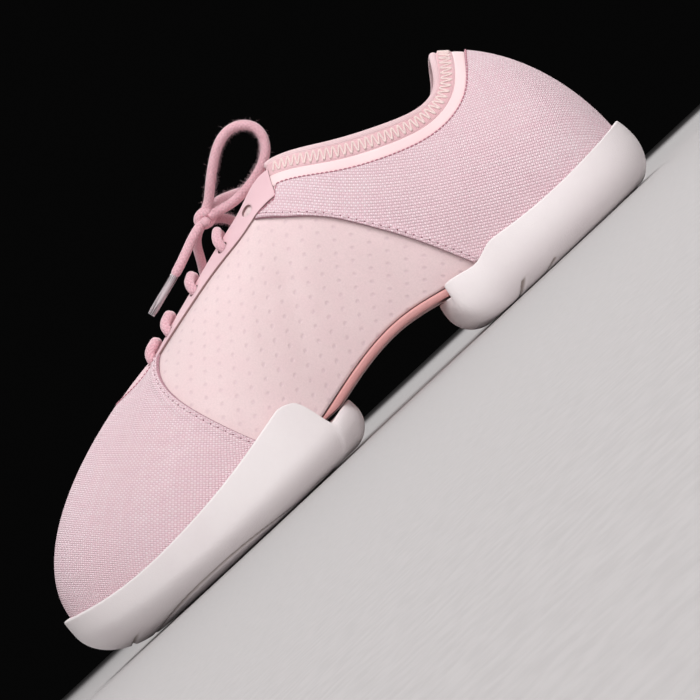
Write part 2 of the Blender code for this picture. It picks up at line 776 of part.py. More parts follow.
def arch_plate(material):
    """Bare plate under the arch, its ends tapered into the sole units."""
    along = np.linspace(PLATE_ENDS[0] * LENGTH, PLATE_ENDS[1] * LENGTH, PLATE_ROWS + 1)
    part = np.linspace(0, 1, PLATE_ROWS + 1)
    lip = PLATE_LIP * (8 * part * (1 - part) - 1)[:, None]
    edges = [foot_outline(plate_section(along, side), lip) for side in (1, -1)]
    share = np.linspace(0, 1, 7)[None, :, None]
    plan = edges[0][:, None] * (1 - share) + edges[1][:, None] * share
    top = bed_height(plan[..., 0]) - GAP
    thin = 0.25 + 0.75 * plate_share(plan[..., 0])
    return loft_shell(
        "arch_plate", with_height(plan, top), with_height(plan, top - PLATE * thin), material)


def tube(name, points, diameter, material):
    """A round cord along points, with filled ends."""
    curve = bpy.data.curves.new(name, "CURVE")
    curve.dimensions = "3D"
    curve.bevel_depth = diameter / 2
    curve.bevel_resolution = 2
    curve.use_fill_caps = True
    line = curve.splines.new("POLY")
    line.points.add(len(points) - 1)
    for point, place in zip(line.points, points):
        point.co = (*place, 1)
    return add_object(name, curve, material)


def smooth_route(points, spacing):
    """Evenly spaced points of the smooth curve through a route."""
    points = np.array(points, dtype=float)
    steps = np.linalg.norm(np.diff(points, axis=0), axis=1)
    knots = np.concatenate(([0.0], np.cumsum(steps)))
    count = max(3, round(knots[-1] / spacing) + 1)
    return spline(points, knots)(np.linspace(0, knots[-1], count))


def lace_bars(material):
    """The lace where it crosses the throat, over the eyestay."""
    lift = GAP + EYESTAY_THICKNESS + GAP + LACE / 2
    for number, section in enumerate(LACE_BARS, 1):
        sides = []
        for side in (section, SECTION_COUNT - section):
            rises = rise_below_edge(np.full(len(BAR_REACHES), side), np.array(BAR_REACHES))
            sides.append(upper_at(side, rises, lift))
        near, far = sides[0], sides[1][::-1]
        crown = (near[-1] + far[0]) / 2 + np.array((0, 0, BAR_CROWN))
        route = world(np.vstack((near, crown, far)))
        tube(f"lace_bar_{number}", smooth_route(route, BAR_SPACING), LACE, material)


def lace_knot(material):
    """The bow's knot: a lump with a shallow wave from its turns of cord."""
    bm = bmesh.new()
    lying = Matrix.Rotation(math.pi / 2, 3, "Y").to_4x4()
    bmesh.ops.create_uvsphere(bm, u_segments=12, v_segments=9, radius=0.5, matrix=lying)
    for vert in bm.verts:
        across = vert.co.x
        wave = 1 + KNOT_WAVE * (math.cos(6 * math.pi * across) - 1) / 2
        round_part = (across, vert.co.y * wave, vert.co.z * wave)
        vert.co = [at + share * size for at, share, size in zip(KNOT_MIDDLE, round_part, KNOT_SIZE)]
    return finish_mesh("lace_knot", bm, material)


def lace_ends(material, tip_material):
    """The bow's two loops and two ends, and the tips on the ends."""
    for name, route in (
        ("lace_loop_outer", OUTER_LOOP),
        ("lace_loop_inner", INNER_LOOP),
        ("lace_end_outer", OUTER_END),
        ("lace_end_inner", INNER_END),
    ):
        tube(name, smooth_route(np.array(route) * MM, CORD_SPACING), LACE, material)
    for name, route in (("aglet_outer", OUTER_AGLET), ("aglet_inner", INNER_AGLET)):
        tube(name, np.array(route) * MM, AGLET, tip_material)


def soles_middle():
    """Middle of both sole units together, as (along, across)."""
    outlines = sole_outline(FOREFOOT_SIDES, FOREFOOT_END), sole_outline(HEEL_SIDES, HEEL_END)
    plan = np.vstack(outlines)[:, :2]
    return (plan.min(axis=0) + plan.max(axis=0)) / 2


ALONG_MIDDLE, ACROSS_MIDDLE = soles_middle()

for old in list(bpy.data.objects):
    bpy.data.objects.remove(old)
SHOE = bpy.data.collections.new("dance_sneaker")
bpy.context.scene.collection.children.link(SHOE)

CREAM = new_material("cream_rubber", (0.83, 0.78, 0.74), 0.55)
ROSE_RUBBER = new_material("rose_rubber", (0.72, 0.42, 0.43), 0.45)
DUSTY_PLATE = new_material("dusty_plate", (0.66, 0.42, 0.40), 0.5)
SUEDE = new_material("blush_microfibre", (0.86, 0.66, 0.64), 0.8)
CANVAS = new_material("pink_canvas", (0.84, 0.58, 0.62), 0.85)
TRIM = new_material("smooth_trim", (0.85, 0.62, 0.63), 0.6)
KNIT = new_material("collar_knit", (0.80, 0.52, 0.54), 0.85)
LINING = new_material("lining_cloth", (0.78, 0.55, 0.56), 0.9)
CORD = new_material("lace_cotton", (0.82, 0.50, 0.55), 0.9)
CLEAR_TIP = new_material("clear_tip", (0.80, 0.80, 0.80), 0.15)

upper(SUEDE)
toe_vamp(CANVAS)
heel_quarter(CANVAS)
eyestay(TRIM)
collar_rim(KNIT)
tongue(LINING)
insole(LINING)
sole_unit("forefoot_sole", FOREFOOT_SIDES, FOREFOOT_END, FOREFOOT_DISC_ALONG, False, CREAM)
sole_unit("heel_sole", HEEL_SIDES, HEEL_END, HEEL_DISC_ALONG, True, CREAM)
pivot_disc("forefoot_pivot_disc", FOREFOOT_DISC_ALONG, ROSE_RUBBER)
pivot_disc("heel_pivot_disc", HEEL_DISC_ALONG, ROSE_RUBBER)
arch_plate(DUSTY_PLATE)
lace_bars(CORD)
lace_knot(CORD)
lace_ends(CORD, CLEAR_TIP)
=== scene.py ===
"""Looks of the left split-sole dance sneaker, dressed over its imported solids.

Everything is in metres in the frame of the solids: the toe points to -Y, the
outer side of the foot to +X, and the sole units stand on the floor at Z = 0.
"""

import math

import bmesh
import bpy
import numpy as np
from mathutils import Matrix, Vector

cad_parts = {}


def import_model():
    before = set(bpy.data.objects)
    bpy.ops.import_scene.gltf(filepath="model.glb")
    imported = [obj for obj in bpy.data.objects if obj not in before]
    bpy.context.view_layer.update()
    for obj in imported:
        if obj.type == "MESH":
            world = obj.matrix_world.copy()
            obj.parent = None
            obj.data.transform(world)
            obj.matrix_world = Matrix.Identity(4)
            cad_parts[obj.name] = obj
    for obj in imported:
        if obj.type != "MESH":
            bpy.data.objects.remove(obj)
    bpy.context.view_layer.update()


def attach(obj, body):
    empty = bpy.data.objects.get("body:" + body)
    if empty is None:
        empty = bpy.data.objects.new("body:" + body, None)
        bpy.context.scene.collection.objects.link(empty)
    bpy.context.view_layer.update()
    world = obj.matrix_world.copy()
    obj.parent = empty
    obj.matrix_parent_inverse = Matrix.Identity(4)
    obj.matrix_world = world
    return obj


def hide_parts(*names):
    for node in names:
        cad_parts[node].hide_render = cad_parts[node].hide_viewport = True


MM = 0.001

# Sizes of the last
LENGTH = 260 * MM
BALL_WIDTH = 93 * MM
HEEL_WIDTH = 71 * MM
INSTEP_HEIGHT = 92 * MM
HEEL_HEIGHT = 79 * MM
BED_RISE = 22 * MM

# Walls and clearances
GAP = 0.3 * MM
UPPER_WALL = 2.0 * MM
COVER = 1.0 * MM
COVER_GAP = 0.6 * MM
EYESTAY_THICKNESS = 1.3 * MM
SOLE_WALL = 2.2 * MM
BELLY_ROOM = 1.1 * MM
INSOLE = 3.4 * MM
TONGUE = 3.0 * MM
PLATE = 2.8 * MM
PLATE_LIP = 1.0 * MM

# Trim of the upper: widths, and where they change in sections from the toe
EYESTAY_WIDTH = 12 * MM
SADDLE_LENGTH = 21 * MM
COLLAR_BAND = 9.5 * MM
SADDLE_SECTIONS = 2.2
BAND_START = 6.6
BAND_BLEND = 1.2
COVER_ROOT = 3.0 * MM
TONGUE_CROWN = 1.2 * MM

# Reach of the sole's outer face from the foot's outline
SOLE_REACH = SOLE_WALL + COVER + COVER_GAP + GAP + BELLY_ROOM

# Sole units and discs
SOLE_HEIGHT = 25 * MM
EDGE_ROUND = 0.7 * MM
DISC_RADIUS = 22.2 * MM
DISC_DEPTH = 3.2 * MM
DISC_SET = 0.4 * MM
FLAT_RADIUS = 28.5 * MM

# Lace
LACE = 3.5 * MM
BAR_CROWN = 0.4 * MM
KNOT_MIDDLE = (-5.7 * MM, 1.5 * MM, 95.1 * MM)
ROUTE_STEP = 0.7 * MM
STRAND_STEP = 0.6 * MM
BAR_EASING = 10

# The outer face of the upper, a row for each section round the foot, from
# the toe along the outer side. Along is a share of LENGTH from the toe.
# Across and belly_out are shares of the ball's or the heel's width, from the
# line through the two discs, and heights of the instep's or heel's height.
# foot_along, foot_across, belly_out, belly_up,
# shoulder_along, shoulder_across, shoulder_height,
# edge_along, edge_across, edge_height
OUTER_FOREPART = (
    (0.015, 0.045, 0.085, 0.325, 0.160, 0.045, 0.715, 0.330, 0.030, 0.770),
    (0.040, 0.215, 0.075, 0.305, 0.170, 0.160, 0.695, 0.333, 0.075, 0.768),
    (0.105, 0.365, 0.065, 0.270, 0.230, 0.290, 0.670, 0.346, 0.102, 0.777),
    (0.200, 0.490, 0.050, 0.260, 0.296, 0.376, 0.705, 0.377, 0.124, 0.807),
    (0.308, 0.527, 0.038, 0.270, 0.373, 0.430, 0.750, 0.430, 0.140, 0.852),
    (0.396, 0.478, 0.034, 0.285, 0.446, 0.420, 0.784, 0.492, 0.156, 0.903),
    (0.477, 0.355, 0.050, 0.295, 0.508, 0.366, 0.818, 0.550, 0.172, 0.949),
    (0.558, 0.296, 0.043, 0.273, 0.577, 0.323, 0.840, 0.608, 0.187, 0.985),
)
HEEL_SECTIONS = (
    (0.642, 0.390, 0.058, 0.280, 0.660, 0.418, 0.840, 0.677, 0.335, 1.020),
    (0.723, 0.410, 0.058, 0.256, 0.742, 0.425, 0.680, 0.745, 0.360, 0.905),
    (0.808, 0.428, 0.050, 0.256, 0.820, 0.428, 0.640, 0.802, 0.340, 0.848),
    (0.892, 0.398, 0.050, 0.256, 0.888, 0.392, 0.700, 0.851, 0.270, 0.880),
    (0.953, 0.250, 0.050, 0.256, 0.942, 0.250, 0.770, 0.880, 0.155, 0.985),
    (0.980, 0.000, 0.036, 0.256, 0.967, 0.000, 0.810, 0.888, 0.000, 1.020),
    (0.953, -0.250, 0.050, 0.256, 0.942, -0.250, 0.770, 0.880, -0.155, 0.988),
    (0.892, -0.398, 0.050, 0.256, 0.888, -0.385, 0.705, 0.851, -0.270, 0.888),
    (0.812, -0.428, 0.050, 0.256, 0.820, -0.428, 0.660, 0.802, -0.340, 0.862),
    (0.730, -0.392, 0.050, 0.270, 0.750, -0.412, 0.695, 0.745, -0.355, 0.915),
    (0.650, -0.345, 0.050, 0.280, 0.670, -0.396, 0.840, 0.680, -0.330, 1.030),
)
INNER_FOREPART = (
    (0.562, -0.270, 0.043, 0.280, 0.580, -0.317, 0.852, 0.608, -0.145, 0.990),
    (0.477, -0.300, 0.048, 0.285, 0.512, -0.344, 0.830, 0.550, -0.132, 0.955),
    (0.392, -0.344, 0.036, 0.280, 0.446, -0.366, 0.795, 0.492, -0.110, 0.909),
    (0.304, -0.355, 0.038, 0.270, 0.373, -0.355, 0.761, 0.430, -0.090, 0.858),
    (0.210, -0.333, 0.045, 0.260, 0.296, -0.300, 0.710, 0.377, -0.066, 0.812),
    (0.127, -0.263, 0.065, 0.270, 0.227, -0.215, 0.676, 0.346, -0.042, 0.778),
    (0.052, -0.118, 0.075, 0.305, 0.177, -0.086, 0.700, 0.333, -0.012, 0.769),
)
SECTION_COUNT = len(OUTER_FOREPART) + len(HEEL_SECTIONS) + len(INNER_FOREPART)

# Height of the foot's bed at each tenth of the length, as shares of BED_RISE
BED_HEIGHTS = (0.73, 0.61, 0.57, 0.56, 0.64, 0.91, 1.04, 0.81, 0.62, 0.60, 0.68)

# Sides of the sole units by the upper's section: how far the under-edge
# rolls in as a share of BALL_WIDTH, then the heights of the widest line and
# of the wall above the bed as shares of SOLE_HEIGHT.
# section, roll, widest, wall
FOREFOOT_SIDES = (
    (-4.6, 0.130, 0.42, 0.26),
    (-4.0, 0.130, 0.42, 0.31),
    (-3.0, 0.135, 0.44, 0.31),
    (-2.0, 0.165, 0.52, 0.31),
    (-1.0, 0.225, 0.66, 0.34),
    (0.0, 0.285, 0.75, 0.38),
    (1.0, 0.255, 0.68, 0.34),
    (2.0, 0.195, 0.54, 0.28),
    (3.0, 0.155, 0.44, 0.29),
    (4.0, 0.140, 0.44, 0.42),
    (4.8, 0.140, 0.48, 0.54),
)
HEEL_SIDES = (
    (8.35, 0.125, 0.48, 0.20),
    (8.9, 0.110, 0.50, 0.24),
    (9.5, 0.098, 0.50, 0.26),
    (10.0, 0.092, 0.50, 0.26),
    (11.0, 0.095, 0.51, 0.26),
    (12.0, 0.110, 0.56, 0.27),
    (13.0, 0.120, 0.60, 0.29),
    (14.0, 0.110, 0.56, 0.27),
    (15.0, 0.095, 0.51, 0.26),
    (16.0, 0.092, 0.50, 0.26),
    (16.9, 0.110, 0.48, 0.20),
)

# Ends of the units under the arch, with the same columns after the place:
# along, across, roll, widest, wall
FOREFOOT_END = (
    (0.445, 0.452, 0.130, 0.48, 0.42),
    (0.468, 0.365, 0.125, 0.44, 0.12),
    (0.480, 0.210, 0.120, 0.42, 0.00),
    (0.470, 0.030, 0.120, 0.40, 0.00),
    (0.447, -0.140, 0.120, 0.40, 0.00),
    (0.414, -0.280, 0.125, 0.40, 0.08),
)
HEEL_END = (
    (0.688, -0.370, 0.120, 0.44, 0.08),
    (0.664, -0.230, 0.115, 0.42, 0.00),
    (0.652, -0.020, 0.115, 0.42, 0.00),
    (0.648, 0.200, 0.120, 0.44, 0.00),
    (0.655, 0.360, 0.125, 0.46, 0.06),
)
FOREFOOT_DISC_ALONG = 0.261
HEEL_DISC_ALONG = 0.852

# Seams of the overlays: the section where each crosses that share of the
# upper's height, first at the wall of the sole and last at the top
VAMP_SEAM = (4.75, 4.15, 3.50, 2.85)
VAMP_INNER_SEAM = (4.15, 3.75, 3.30, 2.85)
QUARTER_SEAM = (8.95, 8.45, 7.60, 6.35)

# Arch plate: its ends along the shoe, and how far each is tapered
PLATE_ENDS = (0.425, 0.735)
PLATE_TAPER = 0.045
PLATE_WIDTH = 68 * MM
PLATE_ROUND = 1.3 * MM

# The eyestay's ends, and the lace bars across the throat, by section
EYESTAY_END = 7.0
TONGUE_ENDS = (0.75, 7.35)
LACE_BARS = (1.9, 3.1, 4.15, 5.2)

# Distances below the throat's edges where the tongue lies
TONGUE_REACHES = (10 * MM, 5 * MM, 0.4 * MM)

# Routes of the lace from its knot, in millimetres of the shoe's own frame:
# across, along, up
OUTER_LOOP = (
    (-4.0, 6.6, 93.6),
    (-2.4, 12.2, 92.3),
    (-1.2, 18.0, 92.2),
    (0.0, 24.0, 93.0),
    (1.0, 29.8, 95.2),
    (1.6, 34.4, 99.4),
    (1.8, 35.6, 105.2),
    (1.6, 32.0, 110.0),
    (1.0, 26.2, 111.2),
    (0.2, 20.4, 109.2),
    (-1.0, 15.0, 105.6),
    (-2.6, 10.0, 101.6),
    (-4.2, 5.9, 98.3),
)
INNER_LOOP = (
    (-11.8, 2.4, 94.3),
    (-16.2, 5.2, 92.7),
    (-20.9, 7.3, 90.4),
    (-26.4, 7.8, 89.0),
    (-31.2, 6.8, 85.3),
    (-34.8, 6.0, 79.6),
    (-36.6, 6.6, 73.4),
    (-38.4, 10.0, 68.6),
    (-38.4, 15.4, 67.4),
    (-37.2, 20.0, 70.8),
    (-35.4, 21.8, 76.8),
    (-33.6, 21.8, 83.9),
    (-29.4, 20.8, 89.8),
    (-23.4, 17.8, 94.3),
    (-16.8, 12.8, 96.2),
    (-11.4, 8.4, 97.0),
)
OUTER_END = (
    (-3.2, -3.4, 93.7),
    (-1.2, -7.4, 92.2),
    (0.4, -11.6, 90.3),
    (1.2, -15.6, 88.6),
    (1.5, -19.6, 87.2),
)
OUTER_AGLET = (
    (1.52, -19.9, 87.1),
    (1.2, -35.2, 82.6),
)
INNER_END = (
    (-9.2, -3.2, 93.9),
    (-13.4, -6.6, 91.8),
    (-18.4, -9.0, 88.4),
    (-23.4, -11.2, 84.9),
    (-27.6, -13.6, 81.3),
)
INNER_AGLET = (
    (-27.9, -13.8, 81.05),
    (-37.2, -20.2, 69.6),
)

# Finish of the cloth pieces, and the pitch of their threads
HEM = 0.55 * MM
HEM_SWELL = 0.35 * MM
HEM_WIDTH = 3.6 * MM
HEM_EASE = 0.8 * MM
COVER_SINK = 0.35 * MM
TOPLINE_ROUND = 0.9 * MM
INSOLE_DISH = 0.8 * MM
FAT_PITCH = 1.0 * MM
FINE_PITCH = 0.72 * MM
KNIT_RIB = 0.55 * MM
KNIT_LOOP = 0.5 * MM
BRAID = 1.5 * MM

# Turn of the threads from the run of each cover's middle
VAMP_GRAIN = 0.0
QUARTER_GRAIN = math.radians(48)

# Stitches: their own size, then each row's distance from its edge
STITCH_PITCH = 2.8 * MM
STITCH_LENGTH = 2.1 * MM
STITCH_RADIUS = 0.28 * MM
STITCH_HOLE_SHADOW = 0.7 * MM
STITCH_SIDES = 6
HOLE_SHADOW_PROUD = 0.1
STITCH_DIP = 3.2
VAMP_STITCHES = (1.5 * MM,)
QUARTER_STITCHES = (2.3 * MM,)
TOP_STITCHES = 0.6 * MM
OVERLOCK_PITCH = 1.6 * MM
OVERLOCK_LENGTH = 1.35 * MM

# Eyestay, collar tape and zigzag, by distance from the upper's edge, and the
# sections over which the cloth's top runs up to the tape
EYESTAY_FACE = 0.75 * MM
EYELET_RADIUS = 2.3 * MM
EYELET_REACH = 6.4 * MM
CLOTH_TOP = 6.6 * MM
CLOTH_RISE_START = 6.9
CLOTH_RISE_BLEND = 0.9
CORNER_LEAD = 0.07
CORNER_BLEND = 0.18
CORNER_SHARES = (0.84, 0.14)
STITCH_PULL = 0.22 * MM
PULL_WIDTH = 0.5 * MM
TOP_PULL_WIDTH = 0.4 * MM
EYESTAY_ROUND = 0.45 * MM
EYELET_FACETS = 32
PUNCH_DEPTH = 8 * MM
TAPE = (7.6 * MM, 2.8 * MM)
ZIGZAG = (-2.0 * MM, 1.9 * MM)
ZIGZAG_PITCH = 2.3 * MM
ZIGZAG_REACH = 1.72 * MM
ZIGZAG_RADIUS = 0.36 * MM
TAPE_HEIGHT = 0.5 * MM
TAPE_ROUND = 1.2 * MM
TAPE_FACES = (0.05 * MM, -0.2 * MM)

# Rounds of the topline's band and rolled rim: height over the edge of the
# wall, and distance out from its middle, in millimetres
BAND_PROFILE = (
    (-3.3, 0.8), (-3.1, 1.35), (-1.6, 1.55), (0.6, 1.65), (2.0, 1.5), (2.8, 0.8),
    (2.8, -0.8), (2.0, -1.45), (-1.0, -1.55), (-4.2, -1.4), (-4.8, -0.8), (-4.2, 0.0),
)
RIM_PROFILE = (
    (2.1, 0.0), (2.6, 1.15), (3.7, 1.5), (4.75, 0.95), (5.05, 0.0),
    (4.75, -0.95), (3.7, -1.5), (2.6, -1.15),
)

# Dimples of the side panels: the two steps of their lattice, along and up
DIMPLE_STEPS = ((5.36 * MM, -1.95 * MM), (2.73 * MM, 3.70 * MM))
DIMPLE_RADIUS = 0.85 * MM

# Tread
GROOVE = 1.0 * MM
GROOVE_WIDTH = 1.35 * MM
GROOVE_FLAT = 0.28 * GROOVE_WIDTH
GROOVE_SIDE = 0.32 * GROOVE_WIDTH
RECESS_LIP = 0.5 * MM
TOP_FALL = 0.1 * MM

# How finely the pieces are divided
SECTION_STEPS = 14
RISE_STEPS = 64
SOLE_COLUMNS = 480
TREAD_ROWS = 96
FOOT_PLACES = 520
TUBE_SIDES = 14
BAND_SIDES = 36
BAND_RINGS = 300
TAPE_RINGS = 260
ZIGZAG_PLACES = 800
TONGUE_ROWS = 60
TONGUE_COLUMNS = 41
INSOLE_ROWS = 90
INSOLE_COLUMNS = 40
PLATE_ROWS = 90
DISC_STEPS = 128
COVER_ROWS = 70
VAMP_COLUMNS = 190
QUARTER_COLUMNS = 210

# Clear tips of the lace
AGLET_LENGTH = 16 * MM
AGLET_WIDTH = 2.9 * MM
AGLET_PINCH = 0.12
LACE_SQUEEZE = 0.36

# Stray fibres of the lace
FUZZ_SEED = 11
FUZZ_PER_MM = 26
FUZZ_LENGTHS = (0.5 * MM, 1.5 * MM)
FUZZ_RADIUS = 0.05 * MM

# The sole units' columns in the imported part, which set the frame's middle
SOLE_FACETS = 56

# Eyelets of the lace bars and the free top pair, by section
EYELET_SECTIONS = (*LACE_BARS, 6.2)

# Folds of the upper: section, rise, width, height, depth
CREASES = (
    (4.6, 0.62, 0.22, 0.16, -0.35 * MM),
    (5.3, 0.48, 0.30, 0.20, 0.30 * MM),
    (6.3, 0.40, 0.28, 0.22, -0.45 * MM),
    (7.1, 0.52, 0.30, 0.24, 0.35 * MM),
    (8.3, 0.30, 0.30, 0.20, -0.40 * MM),
    (9.6, 0.55, 0.35, 0.22, 0.30 * MM),
    (11.2, 0.62, 0.30, 0.18, -0.30 * MM),
    (14.6, 0.60, 0.30, 0.20, -0.30 * MM),
    (17.2, 0.45, 0.32, 0.22, 0.30 * MM),
    (18.8, 0.38, 0.28, 0.20, -0.40 * MM),
    (20.2, 0.50, 0.30, 0.22, 0.30 * MM),
    (22.6, 0.55, 0.24, 0.18, -0.30 * MM),
)

# Tread about each disc, in millimetres and degrees from the outer side
# towards the heel: arcs as radius, start, end, and lines as points
FOREFOOT_ARCS = (
    (29.5, -180, 180),
    (39.0, -118, 44),
    (38.5, 128, 176),
    (48.5, -112, 24),
    (56.5, -108, -58),
    (34.2, -168, -122),
    (43.8, -160, -128),
)
FOREFOOT_LINES = (
    ((10, 49), (20, 46), (30, 38), (38, 27), (43, 15)),
    ((20, 46), (26, 36), (34, 29), (37, 22)),
    ((30, 38), (37, 37), (43, 28)),
    ((-2, 44), (9, 40), (18, 36), (24, 28)),
    ((9, 40), (14, 46)),
    ((33, -1), (36, -6), (34, -12), (37, -18)),
)
HEEL_ARCS = (
    (28.0, -32, 142),
    (34.0, -64, -24),
    (41.5, -70, -32),
    (33.0, -172, -104),
    (39.5, -162, -102),
    (46.0, -146, -104),
)
HEEL_LINES = (
    ((-5, -28), (-2, -35), (4, -42), (6, -48)),
    ((3, -27), (6, -33), (12, -38)),
    ((-2, -35), (-7, -42), (-6, -48)),
    ((6, -33), (5, -40)),
)

# Rounds of a disc's profile: middle and radii as shares of its radius and
# depth, and the angles that they run between
DISC_ROUNDS = (
    ((0.96, 0.90), (0.04, 0.10), 90, 0),
    ((0.96, 0.10), (0.04, 0.10), 0, -90),
    ((0.665, 0.02), (0.040, 0.36), 0, 180),
)

# Strands of the knot, and where the bow's stretches start inside it
KNOT_STRANDS = (
    ((-9.4, 0.4, 93.9), (-5.7, 0.7, 93.7), (-2.4, 0.5, 93.9)),
    ((-8.8, 3.0, 95.6), (-5.5, 2.8, 96.4), (-2.9, 3.1, 95.6)),
)
KNOT_OUTER_LOW = (-4.8, 3.0, 94.4)
KNOT_OUTER_HIGH = (-4.8, 2.6, 96.6)
KNOT_INNER_LOW = (-8.2, 1.6, 94.8)
KNOT_INNER_HIGH = (-7.6, 4.4, 96.4)
KNOT_FRONT = (-5.4, 0.8, 94.8)

# Camera: beside the shoe, just above the floor, rolled as the photo is
CAMERA_LENS = 126
CAMERA_AZIMUTH = 90
CAMERA_ELEVATION = -1.25
CAMERA_ROLL = 43
CAMERA_DISTANCE = 0.85
CAMERA_TARGET = (0.0, 0.007, 0.0267)
FLOOR_SIZE = 3.0
FLOOR_DROP = 0.15 * MM
BACKDROP_LIGHT = 0.004

# Soft lights: name, place, target, size, watts, colour
LIGHTS = (
    ("key", (0.75, 0.25, 1.05), (0, 0, 0.05), 0.7, 13.4, (1.0, 0.985, 0.985)),
    ("side_fill", (1.5, 0.3, 0.4), (0, 0, 0.04), 1.2, 8.8, (1.0, 0.975, 0.98)),
    ("back_rim", (-0.8, 0.25, 0.85), (0, 0, 0.06), 0.9, 9, (1, 1, 1)),
    ("toe_fill", (0.3, -1.3, 0.7), (0, 0, 0.04), 1.0, 4, (1.0, 0.985, 0.985)),
)


def unit(vectors):
    """Vectors along the last axis, made one long."""
    return vectors / np.linalg.norm(vectors, axis=-1, keepdims=True)


def square_to(vectors, tangents):
    """Unit vectors from the parts of the vectors that are square to tangents."""
    return unit(vectors - tangents * np.sum(vectors * tangents, axis=-1, keepdims=True))


def rows_at(places, distance, rows):
    """Rows of three values, given at distances, as they are at the places."""
    return np.stack([np.interp(places, distance, rows[:, axis]) for axis in range(3)], axis=-1)


def knots_of(values):
    """Running chord length of the rows, used as the spline's parameter."""
    steps = np.linalg.norm(np.diff(values[:, :2], axis=0), axis=1)
    return np.concatenate(([0.0], np.cumsum(steps)))


def spline(values, knots):
    """Cubic spline through rows of values at the knots, as a function."""
    values = np.array(values, dtype=float)
    knots = np.array(knots, dtype=float)
    count = len(values)
    steps = np.diff(knots)
    chords = np.diff(values, axis=0) / steps[:, None]
    matrix = np.zeros((count, count))
    right = np.zeros_like(values)
    matrix[0, :2] = 2, 1
    matrix[-1, -2:] = 1, 2
    right[0] = 3 * chords[0]
    right[-1] = 3 * chords[-1]
    for row in range(1, count - 1):
        before, after = steps[row - 1], steps[row]
        matrix[row, row - 1:row + 2] = after, 2 * (before + after), before
        right[row] = 3 * (after * chords[row - 1] + before * chords[row])
    return hermite(values, np.linalg.solve(matrix, right), knots)


def closed_spline(values, knots):
    """Closed cubic spline: the last knot is where the first row comes again."""
    count = len(values)
    steps = np.diff(knots)
    loop = np.vstack((values, values[:1]))
    chords = np.diff(loop, axis=0) / steps[:, None]
    matrix = np.zeros((count, count))
    right = np.zeros_like(values)
    for row in range(count):
        before, after = steps[row - 1], steps[row]
        matrix[row, (row - 1) % count] += after
        matrix[row, row] += 2 * (before + after)
        matrix[row, (row + 1) % count] += before
        right[row] = 3 * (after * chords[row - 1] + before * chords[row])
    slopes = np.linalg.solve(matrix, right)
    curve = hermite(loop, np.vstack((slopes, slopes[:1])), knots)
    return lambda place: curve(np.mod(place, knots[-1]))


def closed_line(rows, count):
    """Rows evenly spread along the smooth closed line through some rows."""
    knots = knots_of(np.vstack((rows, rows[:1])))
    return closed_spline(rows, knots)(np.linspace(0, knots[-1], count, endpoint=False))


def hermite(values, slopes, knots):
    """Piecewise cubic from rows of values and slopes at the knots."""
    def at(place):
        place = np.clip(np.asarray(place, dtype=float), knots[0], knots[-1])
        cell = np.clip(np.searchsorted(knots, place, side="right") - 1, 0, len(knots) - 2)
        step = (knots[cell + 1] - knots[cell])[..., None]
        part = ((place - knots[cell])[..., None]) / step
        start, end = values[cell], values[cell + 1]
        leave, arrive = slopes[cell] * step, slopes[cell + 1] * step
        return (
            start * (1 + 2 * part) * (1 - part) ** 2
            + leave * part * (1 - part) ** 2
            + end * part ** 2 * (3 - 2 * part)
            - arrive * part ** 2 * (1 - part)
        )
    return at


def smooth_step(value):
    """Ease from 0 to 1."""
    value = np.clip(value, 0, 1)
    return value * value * (3 - 2 * value)


def scaled_sections():
    """Rows of the section tables as lengths."""
    rows = []
    for table, width, height in (
        (OUTER_FOREPART, BALL_WIDTH, INSTEP_HEIGHT),
        (HEEL_SECTIONS, HEEL_WIDTH, HEEL_HEIGHT),
        (INNER_FOREPART, BALL_WIDTH, INSTEP_HEIGHT),
    ):
        scale = (LENGTH, width, width, height, LENGTH, width, height, LENGTH, width, height)
        rows.extend([share * size for share, size in zip(row, scale)] for row in table)
    return np.array(rows)


SECTIONS = closed_spline(scaled_sections(), np.arange(SECTION_COUNT + 1.0))
BED = spline(np.array(BED_HEIGHTS)[:, None] * BED_RISE, np.linspace(0, LENGTH, len(BED_HEIGHTS)))


def bed_height(along):
    """Height of the upper's lower edge above the floor."""
    return BED(along)[..., 0]


def outward(section):
    """Outward unit vector of the foot's outline, as (along, across)."""
    step = 0.01
    change = SECTIONS(section + step)[..., :2] - SECTIONS(section - step)[..., :2]
    return unit(np.stack((-change[..., 1], change[..., 0]), axis=-1))


def foot_outline(section, reach=0.0):
    """The foot's outline moved outward by reach, as (along, across)."""
    return SECTIONS(section)[..., :2] + outward(section) * reach


def upper_face(section, rise):
    """Outer face of the upper at a section and a share of its rise."""
    section, rise = np.broadcast_arrays(np.asarray(section, float), np.asarray(rise, float))
    row = SECTIONS(section)
    foot = row[..., 0:2]
    floor = bed_height(foot[..., 0])
    belly = foot + outward(section) * row[..., 2:3]
    low = np.stack((foot[..., 0], foot[..., 1], floor), axis=-1)
    waist = np.stack((belly[..., 0], belly[..., 1], floor + row[..., 3]), axis=-1)
    shoulder = row[..., 4:7]
    edge = row[..., 7:10]
    part = rise[..., None]
    return (
        low * (1 - part) ** 3
        + waist * 3 * part * (1 - part) ** 2
        + shoulder * 3 * part ** 2 * (1 - part)
        + edge * part ** 3
    )


def upper_at(section, rise, offset=0.0):
    """The upper's outer face moved along its normal by offset."""
    section, rise = np.broadcast_arrays(np.asarray(section, float), np.asarray(rise, float))
    step = 0.004
    low = np.clip(rise - step, 0, 1)
    high = np.clip(rise + step, 0, 1)
    around = upper_face(section + step, rise) - upper_face(section - step, rise)
    upward = upper_face(section, high) - upper_face(section, low)
    normal = unit(np.cross(upward, around))
    return upper_face(section, rise) + normal * np.asarray(offset)[..., None]


